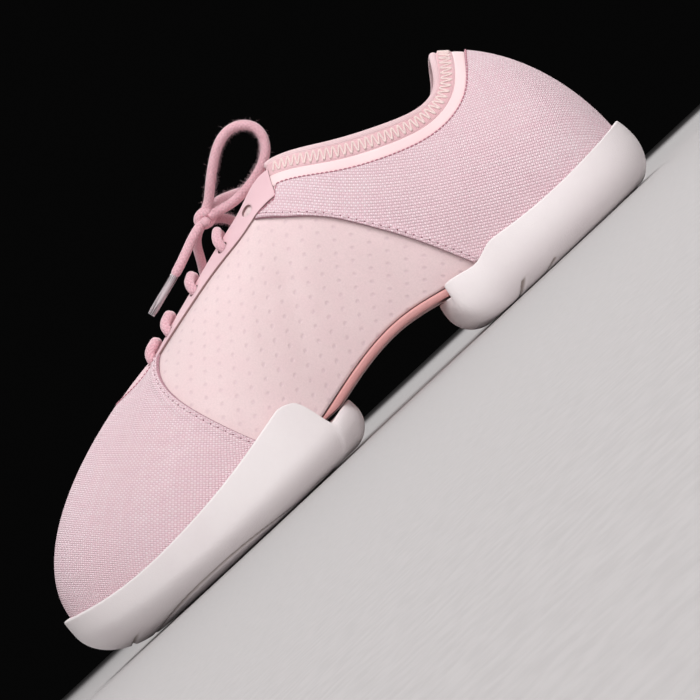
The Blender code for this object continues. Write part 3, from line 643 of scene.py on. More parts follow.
def rise_below_edge(section, distance):
    """Share of the rise that lies the distance down from the top edge."""
    shares = np.linspace(0, 1, 81)
    points = upper_face(np.asarray(section, float)[..., None], shares)
    steps = np.linalg.norm(np.diff(points, axis=-2), axis=-1)
    down = np.flip(np.cumsum(np.flip(steps, -1), -1), -1)
    down = np.concatenate((down, np.zeros_like(down[..., :1])), axis=-1)
    flat = down.reshape(-1, len(shares))
    wanted = np.broadcast_to(distance, down.shape[:-1]).reshape(-1)
    found = [np.interp(-far, -line, shares) for far, line in zip(wanted, flat)]
    return np.array(found).reshape(down.shape[:-1])


def world(points):
    """From (along, across, height) to the shoe's own frame."""
    points = np.asarray(points)
    return np.stack(
        (points[..., 1] - ACROSS_MIDDLE, points[..., 0] - ALONG_MIDDLE, points[..., 2]), axis=-1)


def sole_outline(sides, end, columns):
    """Outline rows of a sole unit: along, across, roll, widest, wall."""
    rows = []
    for section, roll, widest, wall in sides:
        along, across = foot_outline(np.array(float(section)), SOLE_REACH)
        rows.append((along, across, roll, widest, wall))
    for along, across, roll, widest, wall in end:
        width = BALL_WIDTH if along < 0.6 else HEEL_WIDTH
        rows.append((along * LENGTH, across * width, roll, widest, wall))
    rows = np.array(rows)
    rows[:, 2] *= BALL_WIDTH
    rows[:, 3:] *= SOLE_HEIGHT
    return closed_line(rows, columns)


def ring_inward(outline):
    """Inward unit vectors along a closed outline of (along, across)."""
    change = np.roll(outline, -1, axis=0) - np.roll(outline, 1, axis=0)
    normal = unit(np.stack((-change[:, 1], change[:, 0]), axis=1))
    middle = outline.mean(axis=0)
    facing = np.sum(normal * (middle - outline), axis=1).mean()
    return normal if facing > 0 else -normal


def distance_outside_foot(points):
    """Distance of (along, across) points outward from the foot's outline."""
    sections = np.linspace(0, SECTION_COUNT, FOOT_PLACES, endpoint=False)
    loop, normals = foot_outline(sections), outward(sections)
    away = points[:, None] - loop[None]
    nearest = np.argmin(np.linalg.norm(away, axis=2), axis=1)
    picked = np.arange(len(points))
    return np.sum(away[picked, nearest] * normals[nearest], axis=1)


def plate_share(along, more=0.0):
    """Share of the plate's thickness at a place along, easing to 0 at its ends.

    More is how much further both ends reach, as a share of LENGTH.
    """
    start = (PLATE_ENDS[0] - more) * LENGTH
    end = (PLATE_ENDS[1] + more) * LENGTH
    taper = PLATE_TAPER * LENGTH
    return smooth_step((along - start) / taper) * smooth_step((end - along) / taper)


def cup_floor(along):
    """Inner floor of the sole units: under the bed, and under the plate."""
    return bed_height(along) - GAP - (PLATE + 4 * GAP) * plate_share(along, PLATE_TAPER / 2)


def seam_section(seam, share):
    """Section where a seam crosses a share of its height."""
    curve = spline(np.array(seam)[:, None], np.linspace(0, 1, len(seam)))
    return curve(share)[..., 0]


def cover_root(section):
    """Share of the rise where an overlay starts, inside the sole's wall."""
    row = SECTIONS(section)
    height = row[..., 3] * 3
    return COVER_ROOT / height


def from_toe(section):
    """How many sections a section is from the toe, on either side."""
    turn = np.mod(section, SECTION_COUNT)
    return np.minimum(turn, SECTION_COUNT - turn)


def trim_width(section):
    """Width of the trim below the edge: saddle, eyestay, then collar band."""
    turn = from_toe(section)
    saddle = (SADDLE_LENGTH - EYESTAY_WIDTH) * (1 - smooth_step(turn / SADDLE_SECTIONS))
    band = (COLLAR_BAND - EYESTAY_WIDTH) * smooth_step((turn - BAND_START) / BAND_BLEND)
    return EYESTAY_WIDTH + saddle + band


def below_trim(section):
    """Share of the rise where the woven covers end, by the trim's width."""
    share = smooth_step((from_toe(section) - CLOTH_RISE_START) / CLOTH_RISE_BLEND)
    collar = (COLLAR_BAND - CLOTH_TOP) * share
    return rise_below_edge(section, trim_width(section) + 2 * GAP - collar)


def cloth_top(section):
    """The same at the top row, which meets the tape where the eyestay ends."""
    width = trim_width(section)
    share = smooth_step((from_toe(section) - EYESTAY_END + CORNER_LEAD) / CORNER_BLEND)
    return rise_below_edge(section, width + (CLOTH_TOP - width) * share + 2 * GAP)


def across_grid(sections, reach, columns):
    """Rows from the outer to the inner side of the foot's outline."""
    outer = foot_outline(sections, reach)
    inner = foot_outline(SECTION_COUNT - sections, reach)
    share = np.linspace(0, 1, columns + 1)[None, :, None]
    return outer[:, None] * (1 - share) + inner[:, None] * share


def with_height(plan, height):
    """Add a height to a grid of (along, across)."""
    return np.concatenate((plan, height[..., None]), axis=-1)


def plate_section(along, side):
    """Section of the foot's outline, on one side, at a place along."""
    sections = np.linspace(4.0, 11.0, 141)
    if side < 0:
        sections = SECTION_COUNT - sections
    places = foot_outline(sections)[:, 0]
    return np.interp(along, places, sections)


def smooth_route(points, spacing):
    """Evenly spaced points of the smooth curve through a route."""
    points = np.array(points, dtype=float)
    steps = np.linalg.norm(np.diff(points, axis=0), axis=1)
    knots = np.concatenate(([0.0], np.cumsum(steps)))
    count = max(3, round(knots[-1] / spacing) + 1)
    return spline(points, knots)(np.linspace(0, knots[-1], count))


class Value:
    """A socket in a material's tree, with arithmetic that adds nodes."""

    def __init__(self, look, socket):
        self.look = look
        self.socket = socket

    def math(self, operation, other=None):
        return self.look.node("ShaderNodeMath", {0: self, 1: other}, operation=operation)

    def __add__(self, other):
        return self.math("ADD", other)

    def __sub__(self, other):
        return self.math("SUBTRACT", other)

    def __mul__(self, other):
        return self.math("MULTIPLY", other)

    def __truediv__(self, other):
        return self.math("DIVIDE", other)

    def __rsub__(self, other):
        return self.math("MULTIPLY", -1.0).math("ADD", other)

    __radd__ = __add__
    __rmul__ = __mul__

    def sine(self):
        return self.math("SINE")

    def size(self):
        return self.math("ABSOLUTE")

    def floor(self):
        return self.math("FLOOR")

    def part(self):
        return self.math("FRACT")

    def power(self, other):
        return self.math("POWER", other)

    def ramp(self, low, high, start=0.0, end=1.0):
        """Smooth step from start at low to end at high."""
        inputs = {"Value": self, "From Min": low, "From Max": high, "To Min": start, "To Max": end}
        return self.look.node("ShaderNodeMapRange", inputs, interpolation_type="SMOOTHSTEP")


class Look:
    """A procedural material around one Principled shader."""

    def __init__(self, name, roughness, **constants):
        self.material = bpy.data.materials.new(name)
        self.material.use_nodes = True
        self.tree = self.material.node_tree
        self.shader = self.tree.nodes["Principled BSDF"]
        self.shader.inputs["Roughness"].default_value = roughness
        for key, value in constants.items():
            self.shader.inputs[key.replace("_", " ")].default_value = value

    def node(self, kind, inputs=None, output=0, **options):
        made = self.tree.nodes.new(kind)
        for key, value in options.items():
            setattr(made, key, value)
        for key, value in (inputs or {}).items():
            self.plug(made.inputs[key], value)
        return Value(self, made.outputs[output])

    def plug(self, socket, value):
        if isinstance(value, Value):
            self.tree.links.new(value.socket, socket)
        elif value is not None:
            socket.default_value = value

    def place(self):
        """Place on the piece in metres."""
        return self.node("ShaderNodeTexCoord", output="Object")

    def cloth(self):
        """Cloth coordinates along and across, in metres."""
        both = self.node("ShaderNodeUVMap", uv_map="cloth")
        return self.axes(both)[:2]

    def axes(self, vector):
        made = self.tree.nodes.new("ShaderNodeSeparateXYZ")
        self.plug(made.inputs[0], vector)
        return [Value(self, socket) for socket in made.outputs]

    def mark(self, name):
        """A float mark of the mesh."""
        return self.node("ShaderNodeAttribute", output="Fac", attribute_name=name)

    def noise(self, vector, scale, detail=3.0, roughness=0.55):
        inputs = {"Vector": vector, "Scale": scale, "Detail": detail, "Roughness": roughness}
        return self.node("ShaderNodeTexNoise", inputs)

    def vector(self, x, y, z=0.0):
        return self.node("ShaderNodeCombineXYZ", {0: x, 1: y, 2: z})

    def mix(self, share, first, second):
        """Colour between two colours."""
        inputs = {0: share, 6: first, 7: second}
        return self.node("ShaderNodeMix", inputs, output=2, data_type="RGBA")

    def scale_colour(self, colour, factor):
        """Colour times a value."""
        inputs = {0: colour, 3: factor}
        return self.node("ShaderNodeVectorMath", inputs, operation="SCALE")

    def finish(self, colour, height, depth, rough=None):
        """Plug in colour, relief in metres per unit of height, roughness."""
        self.plug(self.shader.inputs["Base Color"], colour)
        self.plug(self.shader.inputs["Roughness"], rough)
        inputs = {"Strength": 1.0, "Distance": depth, "Height": height}
        self.plug(self.shader.inputs["Normal"], self.node("ShaderNodeBump", inputs))
        return self.material


def rgb(red, green, blue):
    """Linear colour from sRGB values out of 255."""
    parts = [value / 255 for value in (red, green, blue)]
    linear = [((c + 0.055) / 1.055) ** 2.4 if c > 0.04045 else c / 12.92 for c in parts]
    return (*linear, 1.0)


def weave(along, across):
    """Plain weave of fat threads over fine ones: relief, and share of the fat."""
    fat = (across * (math.pi / FAT_PITCH)).sine()
    fine = (along * (math.pi / FINE_PITCH)).sine()
    over = (fat * fine).ramp(-0.10, 0.10)
    pillow = fat.size().power(0.7) * fine.size().power(0.35)
    dip = fat.size().power(0.5) * fine.size().power(0.9) * 0.7
    return pillow * over + dip * (1.0 - over), over


def canvas_look():
    """Pink plain-weave canvas with slightly uneven threads, painted shade between them, and painted
    shade and shadow at its edges.
    """
    look = Look("pink_canvas", 0.88, Sheen_Weight=0.2, Sheen_Roughness=0.5)
    along, across = look.cloth()
    wobble = look.noise(look.vector(along, across), 160.0, 2.0) - 0.5
    u = along + wobble * (0.20 * MM)
    v = across + wobble * (0.20 * MM)
    relief, over = weave(u, v)
    warp = look.noise(look.vector((u / FINE_PITCH).floor() * 7.3, across * 45.0), 1.0, 1.0)
    weft = look.noise(look.vector(along * 45.0, (v / FAT_PITCH).floor() * 5.9), 1.0, 1.0)
    thread = (warp + weft) * 0.5
    tone = look.noise(look.place(), 18.0, 2.0)
    base = look.mix(thread.ramp(0.3, 0.7), rgb(250, 220, 229), rgb(255, 238, 243))
    base = look.mix(tone.ramp(0.3, 0.7) * 0.4, base, rgb(252, 222, 227))
    # Painted shade: darker where the fine thread lies low under the fat one, and darker still in
    # the gaps between threads.
    base = look.mix((1.0 - over) * 0.45, base, rgb(242, 203, 213))
    painted_gap_shade = relief.ramp(0.05, 0.55, 1.0, 0.0)
    base = look.mix(painted_gap_shade * 0.55, base, rgb(218, 160, 176))
    # Painted shade: a little darker within about a millimetre of the cover's edges; painted shadow:
    # a thin dark rose line right at the edge, under the hem.
    shade = look.mark("edge").ramp(0.5 * MM, 1.3 * MM, 0.94, 1.0)
    painted_hem_shadow = look.mark("edge").ramp(0.18 * MM, 0.45 * MM, 1.0, 0.0)
    base = look.mix(painted_hem_shadow * 0.75, base, rgb(158, 90, 108))
    height = relief + look.noise(look.place(), 1300.0, 2.0) * 0.25
    return look.finish(look.scale_colour(base, shade), height, 0.34 * MM)


def microfibre_look():
    """Pale microfibre with soft dimples."""
    look = Look("blush_microfibre", 0.78, Sheen_Weight=0.3, Sheen_Roughness=0.5)
    along, across = look.cloth()
    (a_x, a_y), (b_x, b_y) = DIMPLE_STEPS
    area = a_x * b_y - a_y * b_x
    first = (along * b_y - across * b_x) / area
    second = (across * a_x - along * a_y) / area
    s = first.part() - 0.5
    t = second.part() - 0.5
    x = s * a_x + t * b_x
    y = s * a_y + t * b_y
    far = (x * x + y * y).power(0.5)
    dimple = far.ramp(0.0, DIMPLE_RADIUS * 1.5, 1.0, 0.0)
    dimple = dimple * dimple * (3.0 - dimple * 2.0)
    nap = look.noise(look.place(), 1700.0, 4.0)
    cloud = look.noise(look.place(), 140.0, 3.0)
    tone = look.noise(look.place(), 24.0, 2.0)
    base = look.mix(tone.ramp(0.3, 0.7), rgb(233, 209, 210), rgb(239, 215, 216))
    base = look.mix(cloud.ramp(0.35, 0.65) * 0.35, base, rgb(235, 206, 209))
    # Painted shade: the dimples are also painted darker and greyer, as shade in their hollows.
    base = look.mix(dimple * 0.38, base, rgb(208, 180, 188))
    shade = nap.ramp(0.25, 0.75, 0.95, 1.02)
    height = dimple * -1.0 + nap * 0.40 + cloud * 0.7
    return look.finish(look.scale_colour(base, shade), height, 0.09 * MM)


def smooth_look(name, first, second, roughness):
    """Start of a smooth cloth's look: the look, its colour and fine grain."""
    look = Look(name, roughness, Sheen_Weight=0.2)
    grain = look.noise(look.place(), 2600.0, 3.0)
    tone = look.noise(look.place(), 45.0, 2.0)
    base = look.mix(tone.ramp(0.3, 0.7), first, second)
    return look, base, grain


def trim_look():
    """Eyestay cloth with a thin brown line of painted shadow along its lower edge and ends."""
    look, base, grain = smooth_look("smooth_trim", rgb(228, 188, 196), rgb(236, 200, 206), 0.66)
    # Painted shadow: a thin dark brown line along the lower edge and the ends.
    line = look.mark("edge").ramp(0.02 * MM, 0.16 * MM, 1.0, 0.0)
    base = look.mix(line * 0.8, base, rgb(118, 84, 78))
    return look.finish(base, grain, 0.06 * MM)


def tape_look():
    """Smooth pale tape along the collar."""
    look, base, grain = smooth_look("smooth_tape", rgb(244, 214, 216), rgb(248, 222, 223), 0.6)
    return look.finish(base, grain, 0.05 * MM)


def knit_look(name, first, second):
    """Fine knit with ribs along the cloth, and painted shade between the ribs and loops."""
    look, base, grain = smooth_look(name, first, second, 0.85)
    along, across = look.cloth()
    rib = (across * (math.pi / KNIT_RIB)).sine().size()
    loop = (along * (math.pi / KNIT_LOOP)).sine().size()
    relief = rib.power(0.6) * loop.power(0.4)
    # Painted shade: darker where the ribs and loops lie low.
    base = look.scale_colour(base, relief.ramp(0.0, 0.6, 0.78, 1.0))
    return look.finish(base, relief + grain * 0.4, 0.12 * MM)


def rubber_look(name, first, second, roughness):
    """Moulded rubber with a faint mottle, a fine satin skin and painted shade in its grooves."""
    look = Look(name, roughness, Specular_IOR_Level=0.4)
    fine = look.noise(look.place(), 1800.0, 3.0)
    tone = look.noise(look.place(), 26.0, 4.0)
    base = look.mix(tone.ramp(0.3, 0.7), first, second)
    # Painted shade: the grooves of the tread are painted a darker grey-brown.
    groove = look.mark("groove")
    base = look.mix(groove.ramp(0.1, 0.9) * 0.8, base, rgb(158, 142, 132))
    rough = tone.ramp(0.3, 0.7, roughness - 0.05, roughness + 0.08)
    return look.finish(base, fine, 0.10 * MM, rough)


def cotton_look():
    """Fuzzy round lace, braided on the slant, with painted shade between the strands."""
    look = Look("lace_cotton", 0.92, Sheen_Weight=0.5, Sheen_Roughness=0.6)
    along, around = look.cloth()
    first = ((along + around) * (math.pi / BRAID)).sine().size()
    second = ((along - around) * (math.pi / BRAID)).sine().size()
    braid = first.power(0.7) * second.power(0.7)
    fuzz = look.noise(look.place(), 2200.0, 5.0)
    base = look.mix(fuzz.ramp(0.25, 0.75), rgb(224, 166, 178), rgb(242, 198, 206))
    # Painted shade: darker where the braid's strands meet and lie low.
    base = look.scale_colour(base, braid.ramp(0.0, 0.5, 0.84, 1.0))
    return look.finish(base, braid * 0.6 + fuzz * 0.9, 0.22 * MM)


def clear_look():
    """Clear shrunk plastic with streaks along it: painted bright highlights and painted dark
    reflections.
    """
    look = Look("clear_tip", 0.12, Transmission_Weight=0.5, IOR=1.46, Coat_Weight=0.6)
    along, around = look.cloth()
    streak_and_painted_glint = look.noise(look.vector(along * 60.0, around * 1500.0), 1.0, 2.0)
    # Painted reflection: the streaks paint bright highlights and dark reflections into the colour;
    # they also set the bumps and the roughness.
    base = look.mix(streak_and_painted_glint.ramp(0.38, 0.58), rgb(112, 100, 104), rgb(246, 242, 245))
    return look.finish(base, streak_and_painted_glint, 0.05 * MM, streak_and_painted_glint.ramp(0.3, 0.7, 0.06, 0.2))


def stitch_look(name, colour):
    """Twisted sewing thread."""
    look = Look(name, 0.7, Sheen_Weight=0.3)
    twist = look.noise(look.place(), 4200.0, 2.0)
    dark = tuple(part * 0.78 for part in colour[:3]) + (1.0,)
    base = look.mix(twist.ramp(0.2, 0.8), dark, colour)
    return look.finish(base, twist, 0.06 * MM)


def floor_look():
    """Plain pale matt board."""
    look = Look("floor_board", 0.9, Specular_IOR_Level=0.1)
    fine = look.noise(look.place(), 700.0, 3.0)
    base = look.mix(fine.ramp(0.3, 0.7), rgb(176, 173, 173), rgb(182, 179, 179))
    return look.finish(base, fine, 0.05 * MM)


def new_object(name, data):
    """A new object in the scene."""
    made = bpy.data.objects.new(name, data)
    bpy.context.scene.collection.objects.link(made)
    return made


def smooth_piece(name, mesh):
    """A smooth piece of the shoe from a finished mesh."""
    mesh.shade_smooth()
    made = new_object(name, mesh)
    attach(made, "root")
    return made


def corner_vertices(mesh):
    """The vertex that each corner of a mesh's faces lies on."""
    corners = np.zeros(len(mesh.loops), dtype=np.int32)
    mesh.loops.foreach_get("vertex_index", corners)
    return corners


def mesh_object(name, points, faces, material, uv=None, marks=None):
    """A smooth mesh with cloth coordinates and float marks per vertex."""
    mesh = bpy.data.meshes.new(name)
    mesh.from_pydata(points.tolist(), [], faces.tolist() if hasattr(faces, "tolist") else faces)
    mesh.materials.append(material)
    if uv is not None:
        layer = mesh.uv_layers.new(name="cloth")
        layer.data.foreach_set("uv", uv[corner_vertices(mesh)].astype(np.float32).ravel())
    for mark, values in (marks or {}).items():
        attribute = mesh.attributes.new(mark, "FLOAT", "POINT")
        attribute.data.foreach_set("value", values.astype(np.float32).ravel())
    bm = bmesh.new()
    bm.from_mesh(mesh)
    bmesh.ops.recalc_face_normals(bm, faces=bm.faces)
    bm.to_mesh(mesh)
    bm.free()
    return smooth_piece(name, mesh)


def bmesh_object(name, bm, material):
    """A smooth piece from a finished bmesh."""
    mesh = bpy.data.meshes.new(name)
    bm.to_mesh(mesh)
    bm.free()
    mesh.materials.append(material)
    return smooth_piece(name, mesh)


def quads(rows, columns, wrap_rows=False, wrap_columns=False, start=0):
    """Faces of a grid whose vertices are numbered row by row."""
    row = np.arange(rows if wrap_rows else rows - 1)[:, None]
    column = np.arange(columns if wrap_columns else columns - 1)[None]
    after = (row + 1) % rows
    beside = (column + 1) % columns
    corners = (
        row * columns + column, row * columns + beside,
        after * columns + beside, after * columns + column)
    return np.stack(np.broadcast_arrays(*corners), axis=-1).reshape(-1, 4) + start


def capped_rings(count, sides):
    """Faces of a tube of rings, closed by one face at either end."""
    faces = quads(count, sides, wrap_columns=True).tolist()
    return faces + [list(range(sides)), list(range((count - 1) * sides, count * sides))]


def shell_object(name, outer, inner, material, uv, marks=None, wrap=False):
    """Closed cloth between two grids, with the same marks on both faces."""
    rows, columns = outer.shape[:2]
    count = rows * columns
    points = np.concatenate((world(outer).reshape(-1, 3), world(inner).reshape(-1, 3)))
    faces = [quads(rows, columns, wrap), quads(rows, columns, wrap, start=count)]
    index = np.arange(count).reshape(rows, columns)
    borders = [index[:, 0], index[:, -1]]
    if wrap:
        borders = [np.append(border, border[0]) for border in borders]
    else:
        borders += [index[0], index[-1]]
    for border in borders:
        start, end = border[:-1], border[1:]
        faces.append(np.stack((start, end, end + count, start + count), axis=1))
    both = {mark: np.tile(values.reshape(-1), 2) for mark, values in (marks or {}).items()}
    return mesh_object(
        name, points, np.concatenate(faces), material, np.tile(uv.reshape(-1, 2), (2, 1)), both)


def running(points, axis):
    """Running length of a grid's lines along one axis."""
    steps = np.linalg.norm(np.diff(points, axis=axis), axis=-1)
    start = np.zeros_like(np.take(steps, [0], axis=axis))
    return np.concatenate((start, np.cumsum(steps, axis=axis)), axis=axis)


def side_cloth(points):
    """Cloth coordinates of a side panel: along the shoe, and up its wall."""
    flat = points[..., 1:]
    steps = np.linalg.norm(np.diff(flat, axis=1), axis=-1)
    up = np.concatenate((np.zeros_like(steps[:, :1]), np.cumsum(steps, axis=1)), axis=1)
    return np.stack((points[..., 0], up), axis=-1)


def spread_cloth(points, grain):
    """Cloth coordinates in metres from a low-stretch unwrapping of a grid."""
    rows, columns = points.shape[:2]
    mesh = bpy.data.meshes.new("unwrapping")
    mesh.from_pydata(points.reshape(-1, 3).tolist(), [], quads(rows, columns).tolist())
    mesh.uv_layers.new(name="cloth")
    helper = new_object("unwrapping", mesh)
    bpy.context.view_layer.objects.active = helper
    helper.select_set(True)
    bpy.ops.object.mode_set(mode="EDIT")
    bpy.ops.mesh.select_all(action="SELECT")
    bpy.ops.uv.unwrap(method="MINIMUM_STRETCH", iterations=20, margin=0.0)
    bpy.ops.object.mode_set(mode="OBJECT")
    flat = np.zeros(len(mesh.loops) * 2, dtype=np.float32)
    mesh.uv_layers[0].data.foreach_get("uv", flat)
    uv = np.zeros((rows * columns, 2))
    uv[corner_vertices(mesh)] = flat.reshape(-1, 2)
    uv = uv.reshape(rows, columns, 2)
    bpy.data.objects.remove(helper)
    bpy.data.meshes.remove(mesh)
    true = np.linalg.norm(np.diff(points, axis=0), axis=-1).sum()
    uv *= true / np.linalg.norm(np.diff(uv, axis=0), axis=-1).sum()
    middle = rows // 2
    warp = uv[middle, -1] - uv[middle, 0]
    angle = math.atan2(warp[1], warp[0]) - grain
    turn = np.array(((math.cos(angle), -math.sin(angle)), (math.sin(angle), math.cos(angle))))
    return uv @ turn


def rounded(distance, radius):
    """Rise from 0 at a border to 1 at the radius, as a quarter round."""
    return np.sqrt(1 - (1 - np.clip(distance / radius, 0, 1)) ** 2)


def hump(value, middle, width):
    """Smooth bump of height 1 round a middle."""
    return np.exp(-((value - middle) / width) ** 2)


def creases(sections, rises):
    """Folds of the cloth that are placed one by one, as an outward offset."""
    outer = np.zeros(np.broadcast(sections, rises).shape)
    for section, rise, wide, high, depth in CREASES:
        slant = sections - section - (rises - rise) * 1.6
        outer = outer + depth * np.exp(-(slant / wide) ** 2 - ((rises - rise) / high) ** 2)
    return outer


def border_steps(steps, fine, share):
    """Shares from 0 to 1 with extra fine steps next to both ends."""
    ease = share * (1 - np.cos(np.linspace(0, math.pi / 2, fine + 1)))
    return np.concatenate((ease[:-1], np.linspace(share, 1 - share, steps), 1 - ease[::-1][1:]))


def upper_piece(outside, lining):
    """The shaped wall, its topline rounded over."""
    sections = np.linspace(0, SECTION_COUNT, SECTION_COUNT * SECTION_STEPS, endpoint=False)[:, None]
    rises = np.concatenate((np.linspace(0, 0.985, RISE_STEPS), (0.992, 0.997, 1.0)))[None]
    base = upper_at(sections, rises)
    up = running(base, 1)
    below = up[:, -1:] - up
    tuck = UPPER_WALL / 2 * (1 - rounded(below, TOPLINE_ROUND))
    outer = upper_at(sections, rises, creases(sections, rises) - tuck)
    inner = upper_at(sections, rises, -UPPER_WALL + tuck)
    made = shell_object("upper_wall", outer, inner, outside, side_cloth(base), wrap=True)
    line_inside(made, base.shape[0] * (base.shape[1] - 1), lining)
    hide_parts("upper")
    return made


def line_inside(made, count, lining):
    """Give the faces of the second grid the lining's material."""
    made.data.materials.append(lining)
    index = np.zeros(len(made.data.polygons), dtype=np.int32)
    index[count:2 * count] = 1
    made.data.polygons.foreach_set("material_index", index)


def cover_piece(name, starts, ends, columns, rows, grain, insets):
    """A woven cover with folded side hems and rows of stitches."""
    shares = border_steps(rows, 5, 0.02)
    across = border_steps(columns, 8, 0.012)
    sections = starts(shares)[None] + (ends(shares) - starts(shares))[None] * across[:, None]
    low = cover_root(sections)
    high = below_trim(sections)
    corner_start, corner_blend = CORNER_SHARES
    near_top = smooth_step((shares[None] - corner_start) / corner_blend)
    corner = (cloth_top(sections) - high) * near_top
    rises = low + (high - low) * shares[None] + corner
    base = upper_at(sections, rises)
    along = running(base, 0)
    up = running(base, 1)
    side = np.minimum(along, along[-1:] - along)
    top = up[:, -1:] - up
    edge = np.minimum(side, top)
    hem = HEM_SWELL * (smooth_step(side / HEM) - smooth_step((side - HEM_WIDTH) / HEM_EASE))
    pull = sum(STITCH_PULL * hump(side, inset, PULL_WIDTH) for inset in insets)
    pull = pull + STITCH_PULL * hump(top, TOP_STITCHES, TOP_PULL_WIDTH)
    thickness = (COVER * rounded(edge, HEM)) + np.maximum(hem, 0) - pull
    lift = COVER_GAP - COVER_SINK
    outer = upper_at(sections, rises, lift + thickness + creases(sections, rises))
    inner = upper_at(sections, rises, lift + creases(sections, rises) * 0.9)
    cloth = spread_cloth(base, grain)
    made = shell_object(name, outer, inner, canvas, cloth, {"edge": edge})
    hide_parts(name.replace("_cloth", ""))
    normal = surface_normals(outer)
    for number, inset in enumerate(insets):
        for end in (0, -1):
            line, facing = inset_line(outer, normal, side, end, inset)
            keep = slice(3, len(line) - 2)
            sewn_row(f"{name}_stitch_{number}_{'ab'[end]}", line[keep], facing[keep])
    turned = [values.swapaxes(0, 1) for values in (outer, normal, top)]
    line, facing = inset_line(*turned, -1, TOP_STITCHES)
    stitch_row(
        f"{name}_overlock", line[6:-6], facing[6:-6], overlock, OVERLOCK_PITCH, OVERLOCK_LENGTH)
    return made


def sewn_row(name, line, facing):
    """A row of stitches, with dark pieces of painted shadow in the holes that they dip into."""
    stitch_row(name, line, facing, thread, STITCH_PITCH, STITCH_LENGTH)
    stitch_row(f"{name}_hole_shadows", line, facing, needle_hole_shadow, STITCH_PITCH, STITCH_HOLE_SHADOW, shift=0.5)


def surface_normals(points):
    """Unit normals of a grid, away from the foot."""
    return unit(np.cross(np.gradient(points, axis=1), np.gradient(points, axis=0)))


def inset_line(points, normals, distance, end, inset):
    """Line on a grid at a distance from its first or last row."""
    rows = len(points) // 2
    part = slice(0, rows) if end == 0 else slice(-1, -rows, -1)
    points, normals, distance = points[part], normals[part], distance[part]
    line, facing = [], []
    for column in range(points.shape[1]):
        at = [np.interp(inset, distance[:, column], points[:, column, axis]) for axis in range(3)]
        to = [np.interp(inset, distance[:, column], normals[:, column, axis]) for axis in range(3)]
        line.append(at)
        facing.append(to)
    return np.array(line), np.array(facing)


def stitch_row(name, line, facing, material, pitch, length, radius=STITCH_RADIUS, shift=0.0):
    """Stitches along a line, each a short thread that dips in at its ends.

    With a shift of half a pitch they are the dark pieces of painted shadow sunk in the holes
    between stitches.
    """
    distance = running(line[:, None], 0)[:, 0]
    places = max(2, int(distance[-1] / pitch))
    count = places - 1 if shift else places
    middles = (np.arange(count) + 0.5 + shift) * distance[-1] / places
    proud = HOLE_SHADOW_PROUD if shift else 1.0
    behind, centre, ahead = (
        rows_at(middles + step, distance, line) for step in (-0.2 * MM, 0.0, 0.2 * MM))
    tangent = unit(ahead - behind)
    up = square_to(rows_at(middles, distance, facing), tangent)
    beside = np.cross(tangent, up)
    points, faces = [], []
    turns = np.linspace(0, 2 * math.pi, STITCH_SIDES, endpoint=False)
    stations = np.linspace(-0.5, 0.5, STITCH_SIDES)
    for station in stations:
        swell = math.sqrt(max(0.08, 1 - (2 * station) ** 2 * 0.9))
        lift = radius * (proud - STITCH_DIP * station ** 2)
        ring = (
            centre[:, None] + tangent[:, None] * (station * length) + up[:, None] * lift
            + (beside[:, None] * np.cos(turns)[None, :, None]
               + up[:, None] * np.sin(turns)[None, :, None] * 0.8) * (radius * swell)
        )
        points.append(ring)
    points = np.stack(points, axis=1)
    one = points.shape[1] * points.shape[2]
    pattern = capped_rings(len(stations), len(turns))
    for number in range(count):
        faces.extend([corner + number * one for corner in face] for face in pattern)
    mesh_object(name, world(points.reshape(-1, 3)), faces, material)


def eyestay_piece(material):
    """Thin smooth horseshoe round the throat, with punched eyelets."""
    sections = (border_steps(210, 5, 0.004) * 2 - 1)[:, None] * EYESTAY_END
    low = rise_below_edge(sections, trim_width(sections))
    shares = border_steps(26, 6, 0.06)[None]
    rises = low + (1 - low) * shares
    base = upper_at(sections, rises)
    up = running(base, 1)
    along = running(base, 0)
    side = np.minimum(along, along[-1:] - along)
    edge = np.minimum(up, side)
    rim = np.minimum(edge, up[:, -1:] - up)
    thickness = EYESTAY_FACE * (0.3 + 0.7 * rounded(rim, EYESTAY_ROUND))
    outer = upper_at(sections, rises, GAP + thickness)
    inner = upper_at(sections, rises, GAP * 0.5)
    made = shell_object("eyestay_cloth", outer, inner, material, side_cloth(base), {"edge": edge})
    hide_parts("eyestay")
    punch(made, EYELET_SECTIONS)
    return made


def eyelet_place(side, lift=0.0):
    """Centre of an eyelet on the upper, and the way out of it."""
    rise = rise_below_edge(np.array(side), EYELET_REACH)
    low = world(upper_at(side, rise, lift))
    out = world(upper_at(side, rise, lift + 1.0 * MM)) - low
    return low, out / np.linalg.norm(out)


def punch(made, sections):
    """Cut round holes through a piece."""
    bm = bmesh.new()
    for section in sections:
        for side in (section, SECTION_COUNT - section):
            at, out = eyelet_place(side)
            turn = Vector(out).to_track_quat("Z", "Y").to_matrix().to_4x4()
            matrix = Matrix.Translation(Vector(at)) @ turn
            bmesh.ops.create_cone(
                bm, cap_ends=True, segments=EYELET_FACETS, radius1=EYELET_RADIUS,
                radius2=EYELET_RADIUS, depth=PUNCH_DEPTH, matrix=matrix)
    mesh = bpy.data.meshes.new("punches")
    bm.to_mesh(mesh)
    bm.free()
    cutter = new_object("punches", mesh)
    cut = made.modifiers.new("Eyelets", "BOOLEAN")
    cut.operation = "DIFFERENCE"
    cut.object = cutter
    cut.solver = "EXACT"
    apply_modifiers(made)
    bpy.data.objects.remove(cutter)


def apply_modifiers(made):
    """Keep a piece's mesh as its modifiers leave it."""
    graph = bpy.context.evaluated_depsgraph_get()
    mesh = bpy.data.meshes.new_from_object(made.evaluated_get(graph), depsgraph=graph)
    made.modifiers.clear()
    made.data = mesh


